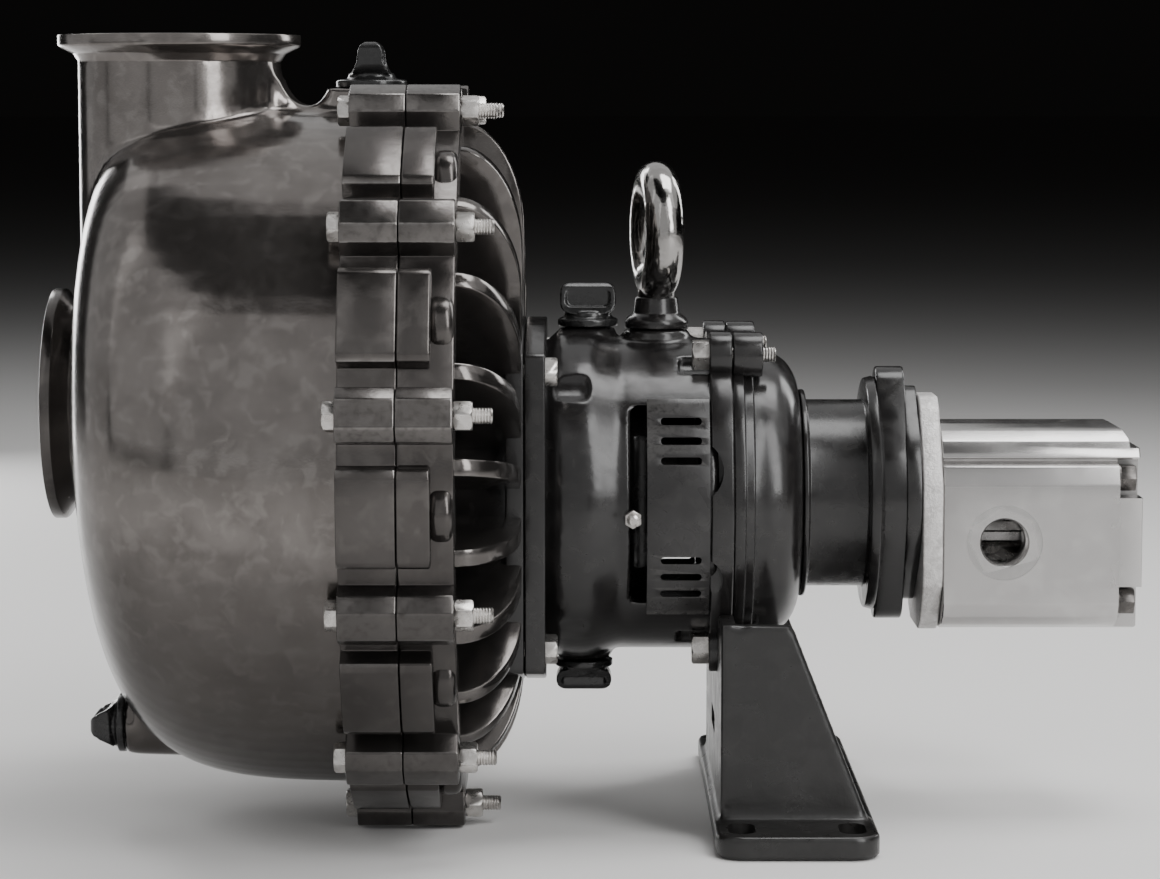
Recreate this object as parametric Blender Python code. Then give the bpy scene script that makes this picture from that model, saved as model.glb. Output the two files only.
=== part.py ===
"""Hydraulic transfer pump: bowl-shaped casing, ribbed adapter, bearing frame on a foot and gear motor.

Metres, +Z up. The origin is the middle of the foot's bottom face. +X runs from the casing to the motor.
"""

import math

import bmesh
import bpy
from mathutils import Matrix
from mathutils import Vector

GAP = 0.0003

# Heights of the two axes that everything is round about.
CASING_Z = 0.186
SHAFT_Z = 0.162
SUCTION_Z = 0.208

# Casing bowl: a flattened dome whose centre line rises towards its end.
BOWL_RIM_X = -0.1650
BOWL_DEPTH = 0.1907
BOWL_R = 0.1711
BOWL_POWER_ALONG = 6.64
BOWL_POWER_ACROSS = 3.47
BOWL_LIFT = 0.0451
BOWL_LIFT_POWER = 0.645
WALL = 0.0080
SPLIT_X = -0.1900
CASING_FLANGE_X = -0.2176
ADAPTER_PAD_X = -0.1740
ADAPTER_BACK_X = -0.1634

# Bolted joint round the casing.
BOLTS_PER_SIDE = 6
CASING_BOLT_R = 0.1820
CASING_BOLT_LOWEST = -79.9
CASING_BOLT_STEP = 30.0
LOBE_R = 0.1935
LOBE_HALF_DEG = 4.1
LOBE_SHAPE = ((1.0, 1.0), (0.96, 0.36), (0.50, 0.0))
PAD_R = 0.1868
PAD_HALF_DEG = 7.6
PAD_SHAPE = ((1.0, 1.0), (0.96, 0.16), (0.80, 0.0))
BARE_HALF_DEG = 13.0
BARE_SHAPE = ((1.0, 0.0), (0.33, 0.0))
TOP_PAD_HALF_DEG = 12.5
TOP_PAD_Z = 0.3684
RECESS_R = 0.1765
M8_HOLE_R = 0.0047
M8_R = 0.0039

DRAIN_CENTRE = (0.0, CASING_Z - 0.1436)
DRAIN_SEAT_X = -0.3390
PRIMING_X = -0.2107

# Ports with a thin clamp rim and a tapered back.
SUCTION_RIM_R = 0.0588
SUCTION_PIPE_R = 0.0500
DISCHARGE_RIM_R = 0.0613
DISCHARGE_PIPE_R = 0.0512
PORT_BORE_R = 0.0410
RIM_THICK = 0.0062
TAPER = 0.0070
SUCTION_FACE_X = -0.3730
DISCHARGE_X = -0.3080
DISCHARGE_TOP_Z = 0.3951

# Ribbed adapter behind the casing.
RIBS = 24
RIB_START = math.radians(-4.5)
RIB_HALF = 0.0042
RIB_OUTER_R = 0.1655
HUB_X = -0.1326
HUB_SEAT = 0.0090
RIB_TURN_R = 0.1120
WELL_R = 0.1540

# Bearing frame.
FRAME_X0 = -0.1322
FRAME_FLANGE_HALF_Y = 0.0860
FRAME_FLANGE_HALF_Z = 0.0901
FRAME_FLANGE_SLANT = (0.0300, 0.0785)
FRAME_FLANGE_BEND_R = 0.0060
FRAME_FLANGE_DROP = 0.0014
FRAME_FLANGE_X1 = -0.1220
DRUM_R = 0.0846
LANTERN_R = 0.0795
LANTERN_INNER_R = 0.0660
REAR_FLANGE_X0 = -0.0405
REAR_FLANGE_X1 = -0.0293
REAR_FLANGE_R = 0.0832
REAR_LUG_R = 0.0116
FRONT_BOLT_R = 0.0974
FRONT_BOLT_DEG = 45.0
FRONT_POCKET_R = 0.0145
FRONT_POCKET_X1 = -0.0995
FRONT_SEAT_X = -0.1224
REAR_BOLT_R = 0.0855
REAR_BOLT_DEG = 60.0
REAR_SEAT_X = -0.0402
SHAFT_R = 0.0120
MOTOR_SHAFT_R = 0.0088

OIL_FILL_X = -0.1010
OIL_DRAIN_X = -0.1030

# End bell and motor adapter.
BELL_X1 = 0.0066
TUBE_R = 0.0478
TUBE_X1 = 0.0395
EAR_X0 = 0.0455
EAR_X1 = 0.0600
PLATE_X1 = 0.0665
EAR_OFFSET = 0.0500
MOTOR_BOLT_OFFSET = 0.0420

# Gear motor.
COVER_X0 = 0.0668
COVER_X1 = 0.0770
BODY_X1 = 0.1770
BODY_TOP_Z = 0.1988
BODY_BOTTOM_Z = 0.0947
BODY_STEP_X = 0.1655
BODY_NOTCH_Y = 0.0262
BODY_NOTCHES_Z = ((0.1640, 0.1826), (0.0900, 0.1192))
BODY_SLOPE = ((0.1648, BODY_TOP_Z), (0.1690, 0.1968), (0.1716, 0.1925), (0.1722, 0.1880))
MOTOR_BOLT_Y = 0.0350
MOTOR_BOLT_Z = (0.1735, 0.1112)
MOTOR_HEAD_R = 0.0073
MOTOR_HEAD_X1 = 0.1742
MOTOR_PORT_X = 0.1080
MOTOR_PORT_Z = 0.1415
MOTOR_PORT_R = 0.0125
SPOTFACE_R = 0.0190
GEAR_SPACING = 0.0400
GEAR_TIP_R = 0.0216
GEAR_ROOT_R = 0.0176
GEAR_TEETH = 12
GEAR_TOOTH = ((GEAR_ROOT_R, -0.30), (GEAR_TIP_R, -0.11), (GEAR_TIP_R, 0.11), (GEAR_ROOT_R, 0.30))
GEAR_X0 = 0.0920
GEAR_X1 = 0.1240

# Foot.
FOOT_X0 = -0.0395
FOOT_X1 = 0.0395
FOOT_HALF_Y = 0.1360
FOOT_PLATE = 0.0114
FOOT_SLOT_R = 0.0066
FOOT_SLOT_HALF = 0.0058
FOOT_SLOT_X = 0.0268
FOOT_SLOT_Y = 0.1155
WEB_X0 = -0.0362
WEB_X1 = -0.0287
GUSSET_Y = 0.0970
GUSSET_THICK = 0.0080
GUSSET_TOP_Z = 0.1080
GUSSET_TOP_X = -0.0020
GUSSET_BASE_X = 0.0375

# Lifting eye.
EYE_X = -0.0660
EYE_RING_R = 0.0260
EYE_BAR_R = 0.0100
EYE_CENTRE_Z = 0.2960
EYE_TURN_DEG = 8.0


def clear_scene():
    """Remove whatever the scene starts with."""
    for obj in list(bpy.data.objects):
        bpy.data.objects.remove(obj, do_unlink=True)


def make_material(name, colour, roughness, metallic):
    """Make a Principled material."""
    material = bpy.data.materials.new(name)
    material.use_nodes = True
    shader = material.node_tree.nodes["Principled BSDF"]
    shader.inputs["Base Color"].default_value = (*colour, 1.0)
    shader.inputs["Roughness"].default_value = roughness
    shader.inputs["Metallic"].default_value = metallic
    return material


def make_object(name, bm, smooth=True):
    """Turn a finished bmesh into a scene object with outward faces."""
    bmesh.ops.recalc_face_normals(bm, faces=bm.faces[:])
    mesh = bpy.data.meshes.new(name)
    bm.to_mesh(mesh)
    bm.free()
    obj = bpy.data.objects.new(name, mesh)
    bpy.context.scene.collection.objects.link(obj)
    if smooth:
        mesh.shade_smooth()
        mesh.set_sharp_from_angle(angle=math.radians(32))
    return obj


def as_helper(obj):
    """Mark an object as a tool for a Boolean, left out of renders."""
    obj.hide_render = True
    obj.display_type = "WIRE"
    return obj


def merged(name, tools):
    """Gather several helper objects into one helper mesh."""
    bm = bmesh.new()
    for tool in tools:
        bm.from_mesh(tool.data)
        bpy.data.objects.remove(tool, do_unlink=True)
    return as_helper(make_object(name, bm))


def combine(target, tools, operation, word):
    """Add one exact Boolean of all the tools to the target."""
    modifier = target.modifiers.new(operation.title(), "BOOLEAN")
    modifier.operation = operation
    modifier.solver = "EXACT"
    modifier.use_self = True
    modifier.object = merged(target.name + word, tools)
    return target


def add(target, *tools):
    """Merge the tools into the target."""
    return combine(target, tools, "UNION", "_additions")


def cut(target, *tools):
    """Take the tools out of the target."""
    return combine(target, tools, "DIFFERENCE", "_cutters")


def fill_loft(bm, rings, closed=False):
    """Skin a list of rings with equal counts; single points make a pole."""
    rows = [[bm.verts.new(point) for point in ring] for ring in rings]
    pairs = list(zip(rows[:-1], rows[1:]))
    if closed:
        pairs.append((rows[-1], rows[0]))
    for low, high in pairs:
        count = max(len(low), len(high))
        for i in range(count):
            j = (i + 1) % count
            if len(low) == 1:
                bm.faces.new((low[0], high[j], high[i]))
            elif len(high) == 1:
                bm.faces.new((low[i], low[j], high[0]))
            else:
                bm.faces.new((low[i], low[j], high[j], high[i]))
    if not closed:
        for row in (rows[0], rows[-1]):
            if len(row) > 2:
                bm.faces.new(row)


def loft(name, rings, closed=False):
    """Make one closed solid from rings."""
    bm = bmesh.new()
    fill_loft(bm, rings, closed)
    return make_object(name, bm)


def circle(radius, count, turn=0.0):
    """Points of a circle in its own plane."""
    step = 2.0 * math.pi / count
    return [(radius * math.cos(i * step + turn), radius * math.sin(i * step + turn)) for i in range(count)]


def ring_at(axis, along, centre, points):
    """Place flat points at a distance along an axis, about a centre line."""
    if axis == "X":
        return [(along, centre[0] + a, centre[1] + b) for a, b in points]
    if axis == "Y":
        return [(centre[0] + a, along, centre[1] + b) for a, b in points]
    return [(centre[0] + a, centre[1] + b, along) for a, b in points]


def revolve_rings(axis, centre, profile, count, turn=0.0):
    """Rings of a turned shape from a profile of (along, radius)."""
    rings = []
    for along, radius in profile:
        if radius <= 0.0:
            rings.append(ring_at(axis, along, centre, [(0.0, 0.0)]))
        else:
            rings.append(ring_at(axis, along, centre, circle(radius, count, turn)))
    return rings


def turned(name, axis, centre, profile, count, closed=False, turn=0.0):
    """One solid turned about an axis."""
    return loft(name, revolve_rings(axis, centre, profile, count, turn), closed)


def rod(name, axis, centre, radius, start, end, count=24, turn=0.0):
    """A straight round rod."""
    return turned(name, axis, centre, [(start, radius), (end, radius)], count, turn=turn)


def prism(name, axis, start, end, points):
    """A flat outline carried along an axis."""
    return loft(name, [ring_at(axis, start, (0.0, 0.0), points), ring_at(axis, end, (0.0, 0.0), points)])


def block(name, low, high):
    """A rectangular block between two corners."""
    outline = [(low[1], low[2]), (high[1], low[2]), (high[1], high[2]), (low[1], high[2])]
    return prism(name, "X", low[0], high[0], outline)


def arc(cx, cy, radius, start, end, steps):
    """Points of an arc, both ends included, angles in degrees."""
    points = []
    for i in range(steps + 1):
        angle = math.radians(start + (end - start) * i / steps)
        points.append((cx + radius * math.cos(angle), cy + radius * math.sin(angle)))
    return points


def rounded_outline(corners, radius, steps=4):
    """Round each corner of a convex outline with a short curve."""
    points = []
    count = len(corners)
    for i in range(count):
        here = Vector(corners[i])
        before = (Vector(corners[i - 1]) - here).normalized()
        after = (Vector(corners[(i + 1) % count]) - here).normalized()
        start = here + before * radius
        end = here + after * radius
        for k in range(steps + 1):
            t = k / steps
            point = start * (1 - t) ** 2 + here * (2 * t * (1 - t)) + end * t**2
            points.append((point.x, point.y))
    return points


def ring_prism(name, start, end, outline, inner_radius):
    """A flange outline with a round opening, about the casing axis, carried along X."""
    inner = []
    for y, z in outline:
        size = math.hypot(y, z - CASING_Z)
        inner.append((inner_radius * y / size, CASING_Z + inner_radius * (z - CASING_Z) / size))
    pairs = ((start, inner), (start, outline), (end, outline), (end, inner))
    rings = [ring_at("X", x, (0.0, 0.0), points) for x, points in pairs]
    return loft(name, rings, closed=True)


def many(name, axis, centres, radius, start, end, count=16):
    """Several parallel rods in one helper mesh."""
    bm = bmesh.new()
    for centre in centres:
        fill_loft(bm, revolve_rings(axis, centre, [(start, radius), (end, radius)], count))
    return make_object(name, bm)


def on_circle(centre, radius, angles):
    """Centres spaced on a circle in the plane across the shaft; angle 0 faces the near side."""
    return [(centre[0] - radius * math.cos(a), centre[1] + radius * math.sin(a)) for a in angles]


def casing_bolt_angles():
    """Angles of the bolts round the casing: six on the near side and five, mirrored, on the far side."""
    near = [math.radians(CASING_BOLT_LOWEST + i * CASING_BOLT_STEP) for i in range(BOLTS_PER_SIDE)]
    return near + [math.pi - angle for angle in reversed(near[1:])]


def bumps(pad_radius, pad_half):
    """Lobes at the bolts and pads between them, each as (angle, radius, half width in degrees, shape)."""
    angles = casing_bolt_angles()
    found = []
    for index, bolt in enumerate(angles):
        found.append((bolt, LOBE_R, LOBE_HALF_DEG, LOBE_SHAPE))
        if index == BOLTS_PER_SIDE - 1:
            found.append((0.5 * math.pi, 0.0, TOP_PAD_HALF_DEG, PAD_SHAPE))
        elif index < len(angles) - 1:
            found.append((bolt + math.radians(0.5 * CASING_BOLT_STEP), pad_radius, pad_half, PAD_SHAPE))
        else:
            found.append((0.5 * (bolt + angles[0]) + math.pi, RECESS_R, BARE_HALF_DEG, BARE_SHAPE))
    return found


def bolted_outline(pad_radius, pad_half):
    """Outline of a casing flange: bolt lobes, pads between them and a flat top pad, on a recessed base."""
    points = []
    for mid, radius, half, shape in bumps(pad_radius, pad_half):
        for share, drop in [(-share, drop) for share, drop in shape] + list(reversed(shape)):
            angle = mid + math.radians(half) * share
            top = radius or (TOP_PAD_Z - CASING_Z) / math.sin(angle)
            reach = top - (top - RECESS_R) * drop
            points.append((-reach * math.cos(angle), CASING_Z + reach * math.sin(angle)))
    return points


def bowl_rings(radius, depth, last_x, steps, count):
    """Rings of the dome from its open side to its end."""
    rings = [ring_at("X", last_x, (0.0, CASING_Z), circle(radius, count))]
    for i in range(steps + 1):
        t = 0.5 * math.pi * i / steps
        x = BOWL_RIM_X - depth * math.sin(t) ** (2.0 / BOWL_POWER_ALONG)
        r = radius * math.cos(t) ** (2.0 / BOWL_POWER_ACROSS) if i < steps else 0.0
        lift = BOWL_LIFT * (1.0 - r / radius) ** BOWL_LIFT_POWER
        if x < last_x - 0.01:
            points = circle(r, count) if r > 0.0 else [(0.0, 0.0)]
            rings.append(ring_at("X", x, (0.0, CASING_Z + lift), points))
    return rings


def port_profile(face, inward, length, rim, pipe, spread):
    """Profile of a port from inside the casing out to its face."""
    return [
        (face + inward * length, 0.0),
        (face + inward * length, pipe + spread),
        (face + inward * (RIM_THICK + TAPER), pipe),
        (face + inward * (RIM_THICK + TAPER * 0.45), pipe + 0.0026),
        (face + inward * RIM_THICK, rim - 0.0012),
        (face + inward * (RIM_THICK - 0.0012), rim),
        (face + inward * 0.0008, rim),
        (face, rim - 0.0008),
        (face, 0.0),
    ]


def build_volute_casing():
    """Casing: dome, bolting flange, two ports and two plug bosses in one hollow casting."""
    casing = loft("volute_casing", bowl_rings(BOWL_R, BOWL_DEPTH, SPLIT_X - 0.004, 20, 64))
    saddle = [(-0.2640, 0.3300), (-0.2640, 0.3800), (-0.2560, 0.3730), (-0.2525, 0.3660), (-0.2480, 0.3610)]
    saddle += [(-0.2430, 0.3594), (-0.2385, 0.3600), (-0.2350, 0.3625), (-0.2330, 0.3655)]
    saddle += [(-0.2321, TOP_PAD_Z - 0.0001), (-0.1935, TOP_PAD_Z - 0.0001), (-0.1935, 0.3300)]
    drain_profile = [(DRAIN_SEAT_X, 0.0), (DRAIN_SEAT_X, 0.0155), (DRAIN_SEAT_X + 0.007, 0.0165)]
    drain_profile += [(-0.2900, 0.0175), (-0.2900, 0.0)]
    suction = port_profile(SUCTION_FACE_X, 1.0, 0.050, SUCTION_RIM_R, SUCTION_PIPE_R, 0.0030)
    discharge = port_profile(DISCHARGE_TOP_Z, -1.0, 0.145, DISCHARGE_RIM_R, DISCHARGE_PIPE_R, 0.0010)
    add(
        casing,
        prism("flange", "X", CASING_FLANGE_X, SPLIT_X, bolted_outline(PAD_R, PAD_HALF_DEG)),
        turned("neck", "X", (0.0, SUCTION_Z), suction, 32),
        turned("pipe", "Z", (DISCHARGE_X, 0.0), discharge, 32),
        prism("boss", "Y", -0.0188, 0.0188, saddle),
        turned("drain", "X", DRAIN_CENTRE, drain_profile, 20),
    )
    holes = on_circle((0.0, CASING_Z), CASING_BOLT_R, casing_bolt_angles())
    cut(
        casing,
        loft("cavity", bowl_rings(BOWL_R - WALL, BOWL_DEPTH - WALL, SPLIT_X + 0.010, 12, 40)),
        rod("bore", "X", (0.0, SUCTION_Z), PORT_BORE_R, SUCTION_FACE_X - 0.02, -0.300, 28),
        rod("bore", "Z", (DISCHARGE_X, 0.0), PORT_BORE_R, 0.200, DISCHARGE_TOP_Z + 0.02, 28),
        many("holes", "X", holes, M8_HOLE_R, CASING_FLANGE_X - 0.02, SPLIT_X + 0.02, 8),
    )
    return casing


def rib_rings(angle):
    """Two side faces of one rib of the adapter, a plate that holds the shaft axis."""
    along = Vector((-math.cos(angle), math.sin(angle)))
    across = Vector((math.sin(angle), math.cos(angle)))
    offset = CASING_Z - SHAFT_Z
    b = along.y * offset
    outer = b + math.sqrt(RIB_OUTER_R**2 - offset**2 + b * b)
    turn = b + math.sqrt(RIB_TURN_R**2 - offset**2 + b * b)
    base = ADAPTER_PAD_X - 0.0020
    foot_x = ADAPTER_BACK_X - 0.0012
    profile = [(0.0500, base), (0.0500, HUB_X - 0.001)]
    for i in range(7):
        t = 0.5 * math.pi * i / 6
        x = foot_x + (HUB_X - 0.001 - foot_x) * math.cos(t)
        rho = turn + (outer - turn) * math.sin(t)
        profile.append((rho, x))
    profile.append((outer, base))
    rings = []
    for side in (-1.0, 1.0):
        shift = across * side * RIB_HALF
        ring = [
            (x, along.x * rho + shift.x, SHAFT_Z + along.y * rho + shift.y) for rho, x in profile
        ]
        rings.append(ring)
    return rings


def build_rear_adapter():
    """Adapter: the casing's back plate, with ribs that run in to the bearing frame's hub."""
    ring = bolted_outline(PAD_R, PAD_HALF_DEG)
    adapter = prism("rear_adapter", "X", SPLIT_X + GAP, ADAPTER_PAD_X, ring)
    bm = bmesh.new()
    for i in range(RIBS):
        fill_loft(bm, rib_rings(RIB_START + i * 2.0 * math.pi / RIBS))
    back = bolted_outline(PAD_R - 0.004, 3.6)
    hub = [(ADAPTER_PAD_X - 0.0030, 0.0), (ADAPTER_PAD_X - 0.0030, 0.0700), (ADAPTER_BACK_X - 0.0030, 0.0780)]
    hub += [(HUB_X - 0.0050, 0.0840), (HUB_X - 0.0050, 0.0)]
    add(
        adapter,
        ring_prism("lobes", ADAPTER_PAD_X - 0.001, ADAPTER_BACK_X, back, WELL_R),
        turned("hub", "X", (0.0, SHAFT_Z), hub, 40),
        prism("seat", "X", HUB_X - HUB_SEAT, HUB_X, front_flange_outline()),
        make_object("ribs", bm),
    )
    holes = on_circle((0.0, CASING_Z), CASING_BOLT_R, casing_bolt_angles())
    cut(
        adapter,
        rod("bore", "X", (0.0, SHAFT_Z), 0.0210, SPLIT_X - 0.02, HUB_X + 0.02, 28),
        many("holes", "X", holes, M8_HOLE_R, SPLIT_X - 0.02, ADAPTER_BACK_X + 0.02, 8),
        many("taps", "X", front_bolt_centres(), 0.0043, HUB_X - 0.008, HUB_X + 0.02, 8),
    )
    return adapter


def four_angles(degrees):
    """Four angles, alike about both middle planes."""
    return [math.radians(angle) for angle in (degrees, 180 - degrees, 180 + degrees, -degrees)]


def front_bolt_centres():
    """Centres of the four bolts through the frame's front flange."""
    return on_circle((0.0, SHAFT_Z - FRAME_FLANGE_DROP), FRONT_BOLT_R, four_angles(FRONT_BOLT_DEG))


def rear_bolt_centres():
    """Centres of the four bolts through the frame's rear flange."""
    return on_circle((0.0, SHAFT_Z), REAR_BOLT_R, four_angles(REAR_BOLT_DEG))


def front_flange_outline():
    """Outline of the frame's front flange: a plate with slanted corners."""
    y, z = FRAME_FLANGE_SLANT
    quarter = [(FRAME_FLANGE_HALF_Y, z), (y, FRAME_FLANGE_HALF_Z)]
    half = [(-a, b) for a, b in quarter] + [(a, b) for a, b in reversed(quarter)]
    corners = half + [(-a, -b) for a, b in half]
    return [(a, SHAFT_Z - FRAME_FLANGE_DROP + b) for a, b in rounded_outline(corners, FRAME_FLANGE_BEND_R, 3)]


def build_bearing_frame():
    """Bearing frame: front flange, bearing drum, open lantern and rear flange in one casting."""
    profile = [(FRAME_X0 + 0.002, 0.0), (FRAME_X0 + 0.002, 0.0700), (-0.1195, 0.0725), (-0.1150, 0.0800)]
    profile += [(-0.1100, 0.0836), (-0.1040, DRUM_R), (-0.0970, DRUM_R), (-0.0900, 0.0834)]
    profile += [(-0.0830, LANTERN_R), (REAR_FLANGE_X0, LANTERN_R)]
    profile += [(REAR_FLANGE_X0, REAR_FLANGE_R), (REAR_FLANGE_X1, REAR_FLANGE_R), (REAR_FLANGE_X1, 0.0)]
    frame = turned("bearing_frame", "X", (0.0, SHAFT_Z), profile, 44)
    rear = rear_bolt_centres()
    add(
        frame,
        prism("flange", "X", FRAME_X0, FRAME_FLANGE_X1, front_flange_outline()),
        many("lugs", "X", rear, REAR_LUG_R, REAR_FLANGE_X0 + 0.0002, REAR_FLANGE_X1 - 0.0002, 16),
        rod("eye_boss", "Z", (EYE_X, 0.0), 0.0170, SHAFT_Z + 0.070, SHAFT_Z + 0.0845, 20),
        rod("oil_boss", "Z", (OIL_FILL_X, 0.0), 0.0145, SHAFT_Z + 0.070, SHAFT_Z + 0.0855, 20),
        rod("drain_boss", "Z", (OIL_DRAIN_X, 0.0), 0.0145, SHAFT_Z - 0.0855, SHAFT_Z - 0.070, 20),
    )
    low = SHAFT_Z - 0.0480
    high = SHAFT_Z + 0.0500
    cut(
        frame,
        rod("lantern", "X", (0.0, SHAFT_Z), LANTERN_INNER_R, -0.0790, REAR_FLANGE_X1 + 0.02, 32),
        block("window", (-0.0770, -0.12, low), (-0.0440, 0.12, high)),
        rod("bore", "X", (0.0, SHAFT_Z), SHAFT_R + 0.0008, FRAME_X0 - 0.02, -0.07, 28),
        many("front_holes", "X", front_bolt_centres(), M8_HOLE_R, FRAME_X0 - 0.01, -0.1215, 8),
        many("front_pockets", "X", front_bolt_centres(), FRONT_POCKET_R, FRONT_SEAT_X, FRONT_POCKET_X1, 20),
        many("rear_seats", "X", rear_bolt_centres(), 0.0095, -0.0560, REAR_SEAT_X, 14),
        many("rear_holes", "X", rear_bolt_centres(), M8_HOLE_R, -0.0450, REAR_FLANGE_X1 + 0.01, 8),
        rod("eye_thread", "Z", (EYE_X, 0.0), 0.0066, SHAFT_Z + 0.060, SHAFT_Z + 0.10, 14),
    )
    return frame


def guard_outline():
    """Outline of the curved guard sheet on the near side."""
    outer = arc(0.0, SHAFT_Z, 0.0835, 180 - 40, 180 + 40, 16)
    inner = arc(0.0, SHAFT_Z, 0.0819, 180 + 40, 180 - 40, 16)
    return outer + inner


def build_coupling_guard(name, side):
    """Slotted guard sheet over one lantern window."""
    points = [(side * -y, z) for y, z in guard_outline()]
    guard = prism(name, "X", -0.0720, -0.0412, points)
    bm = bmesh.new()
    for height in (0.2100, 0.1995, 0.1890, 0.1335, 0.1255, 0.1165):
        low_y = min(side * 0.05, side * 0.12)
        outline = [(-0.0650, height - 0.0018), (-0.0455, height - 0.0018)]
        outline += [(-0.0455, height + 0.0018), (-0.0650, height + 0.0018)]
        fill_loft(bm, [ring_at("Y", y, (0.0, 0.0), outline) for y in (low_y, low_y + 0.07)])
    cut(guard, make_object(name + "_slot_tool", bm))
    return guard


def build_shaft():
    """Pump shaft from the impeller to the coupling."""
    return turned(
        "pump_shaft",
        "X",
        (0.0, SHAFT_Z),
        [(-0.2150, SHAFT_R - 0.001), (-0.2140, SHAFT_R), (-0.0610, SHAFT_R), (-0.0600, SHAFT_R - 0.001)],
        32,
    )


def build_impeller():
    """Impeller: a disc with curved vanes and a hub, on the pump shaft."""
    bore = SHAFT_R + GAP + 0.0001
    profile = [(-0.2050, bore), (-0.2400, bore), (-0.2400, 0.0240), (-0.2160, 0.0300)]
    profile += [(-0.2110, 0.0940), (-0.2050, 0.0940)]
    wheel = turned("impeller", "X", (0.0, SHAFT_Z), profile, 32, closed=True)
    bm = bmesh.new()
    for i in range(5):
        start = i * 2.0 * math.pi / 5
        inner = []
        outer = []
        for k in range(6):
            radius = 0.0270 + 0.0650 * k / 5
            angle = start + 1.2 * k / 5
            half = 0.0022 / radius
            inner.append((radius * math.cos(angle - half), radius * math.sin(angle - half)))
            outer.append((radius * math.cos(angle + half), radius * math.sin(angle + half)))
        outline = inner + outer[::-1]
        fill_loft(bm, [ring_at("X", x, (0.0, SHAFT_Z), outline) for x in (-0.2420, -0.2080)])
    add(wheel, make_object("impeller_vane_tool", bm))
    return wheel


def build_couplings():
    """Shaft coupling in the lantern: two jawed hubs and a spider between them."""
    jaw = math.radians(24)
    hubs = []
    reach = 0.0185
    kinds = [("coupling_hub_pump", -0.0560, -1.0, SHAFT_R + 0.0005)]
    kinds += [("coupling_hub_motor", -0.0440, 1.0, MOTOR_SHAFT_R + 0.0005)]
    for name, face, away, bore in kinds:
        profile = [(face, bore), (face, 0.0300), (face + away * reach, 0.0300), (face + away * reach, bore)]
        hub = turned(name, "X", (0.0, SHAFT_Z), profile, 28, closed=True)
        hubs.append((hub, face, away))
    for index, (hub, face, away) in enumerate(hubs):
        bm = bmesh.new()
        for i in range(3):
            mid = (i * 2 + index) * math.pi / 3
            outline = []
            for share in (-1.0, -0.5, 0.0, 0.5, 1.0):
                angle = mid + share * jaw
                outline.append((0.0296 * math.cos(angle), 0.0296 * math.sin(angle)))
            for share in (1.0, 0.0, -1.0):
                angle = mid + share * jaw
                outline.append((0.0150 * math.cos(angle), 0.0150 * math.sin(angle)))
            ends = sorted((face + away * 0.002, face - away * 0.0110))
            fill_loft(bm, [ring_at("X", x, (0.0, SHAFT_Z), outline) for x in ends])
        add(hub, make_object(hub.name + "_jaw_tool", bm))
    return [hub for hub, _, _ in hubs]


def build_end_bell():
    """End bell: a stepped dome that closes the rear of the frame."""
    start = REAR_FLANGE_X1 + GAP
    profile = [(start, 0.0), (start, 0.0805), (-0.0235, 0.0805), (-0.0232, 0.0765)]
    profile += [(-0.0190, 0.0765), (-0.0187, 0.0735), (-0.0090, 0.0722), (-0.0030, 0.0698)]
    profile += [(0.0018, 0.0650), (0.0050, 0.0585), (BELL_X1, 0.0500), (BELL_X1, 0.0)]
    bell = turned("end_bell", "X", (0.0, SHAFT_Z), profile, 44)
    add(bell, many("lugs", "X", rear_bolt_centres(), REAR_LUG_R - 0.0003, start + 0.0001, -0.0140, 16))
    cut(
        bell,
        rod("bore", "X", (0.0, SHAFT_Z), 0.0160, -0.05, 0.02, 28),
        rod("hollow", "X", (0.0, SHAFT_Z), 0.0550, -0.05, -0.0080, 32),
        many("holes", "X", rear_bolt_centres(), M8_HOLE_R, -0.05, 0.005, 8),
    )
    return bell


def ear_outline(ear_radius, ear_offset, waist):
    """Outline with an ear at the top and the bottom and a round waist."""
    points = []
    top = SHAFT_Z + ear_offset
    bottom = SHAFT_Z - ear_offset
    lean = math.degrees(math.acos((waist - ear_radius) / ear_offset))
    points += arc(0.0, top, ear_radius, 90 - lean, 90 + lean, 8)
    points += arc(0.0, SHAFT_Z, waist, 90 + lean, 270 - lean, 10)
    points += arc(0.0, bottom, ear_radius, 270 - lean, 270 + lean, 8)
    points += arc(0.0, SHAFT_Z, waist, -90 + lean, 90 - lean, 10)
    return points


def build_motor_adapter():
    """Motor adapter: a tube with a collar and a two-eared flange."""
    profile = [(BELL_X1 + GAP, 0.0), (BELL_X1 + GAP, 0.0530), (0.0095, 0.0530), (0.0100, TUBE_R)]
    profile += [(TUBE_X1, TUBE_R), (TUBE_X1 + 0.0004, 0.0588), (EAR_X0 - 0.0008, 0.0600), (EAR_X0, 0.0560)]
    profile += [(EAR_X0 + 0.002, 0.0480), (EAR_X0 + 0.002, 0.0)]
    adapter = turned("motor_adapter", "X", (0.0, SHAFT_Z), profile, 40)
    add(
        adapter,
        prism("ears", "X", EAR_X0, EAR_X1, ear_outline(0.0150, EAR_OFFSET, 0.0440)),
        prism("plate", "X", EAR_X1 - 0.001, PLATE_X1, ear_outline(0.0110, 0.0440, 0.0455)),
    )
    centres = [(0.0, SHAFT_Z + MOTOR_BOLT_OFFSET), (0.0, SHAFT_Z - MOTOR_BOLT_OFFSET)]
    cut(
        adapter,
        rod("tube", "X", (0.0, SHAFT_Z), 0.0160, -0.01, 0.09, 28),
        many("holes", "X", centres, 0.0058, EAR_X0 - 0.004, 0.09, 12),
    )
    return adapter


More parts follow.
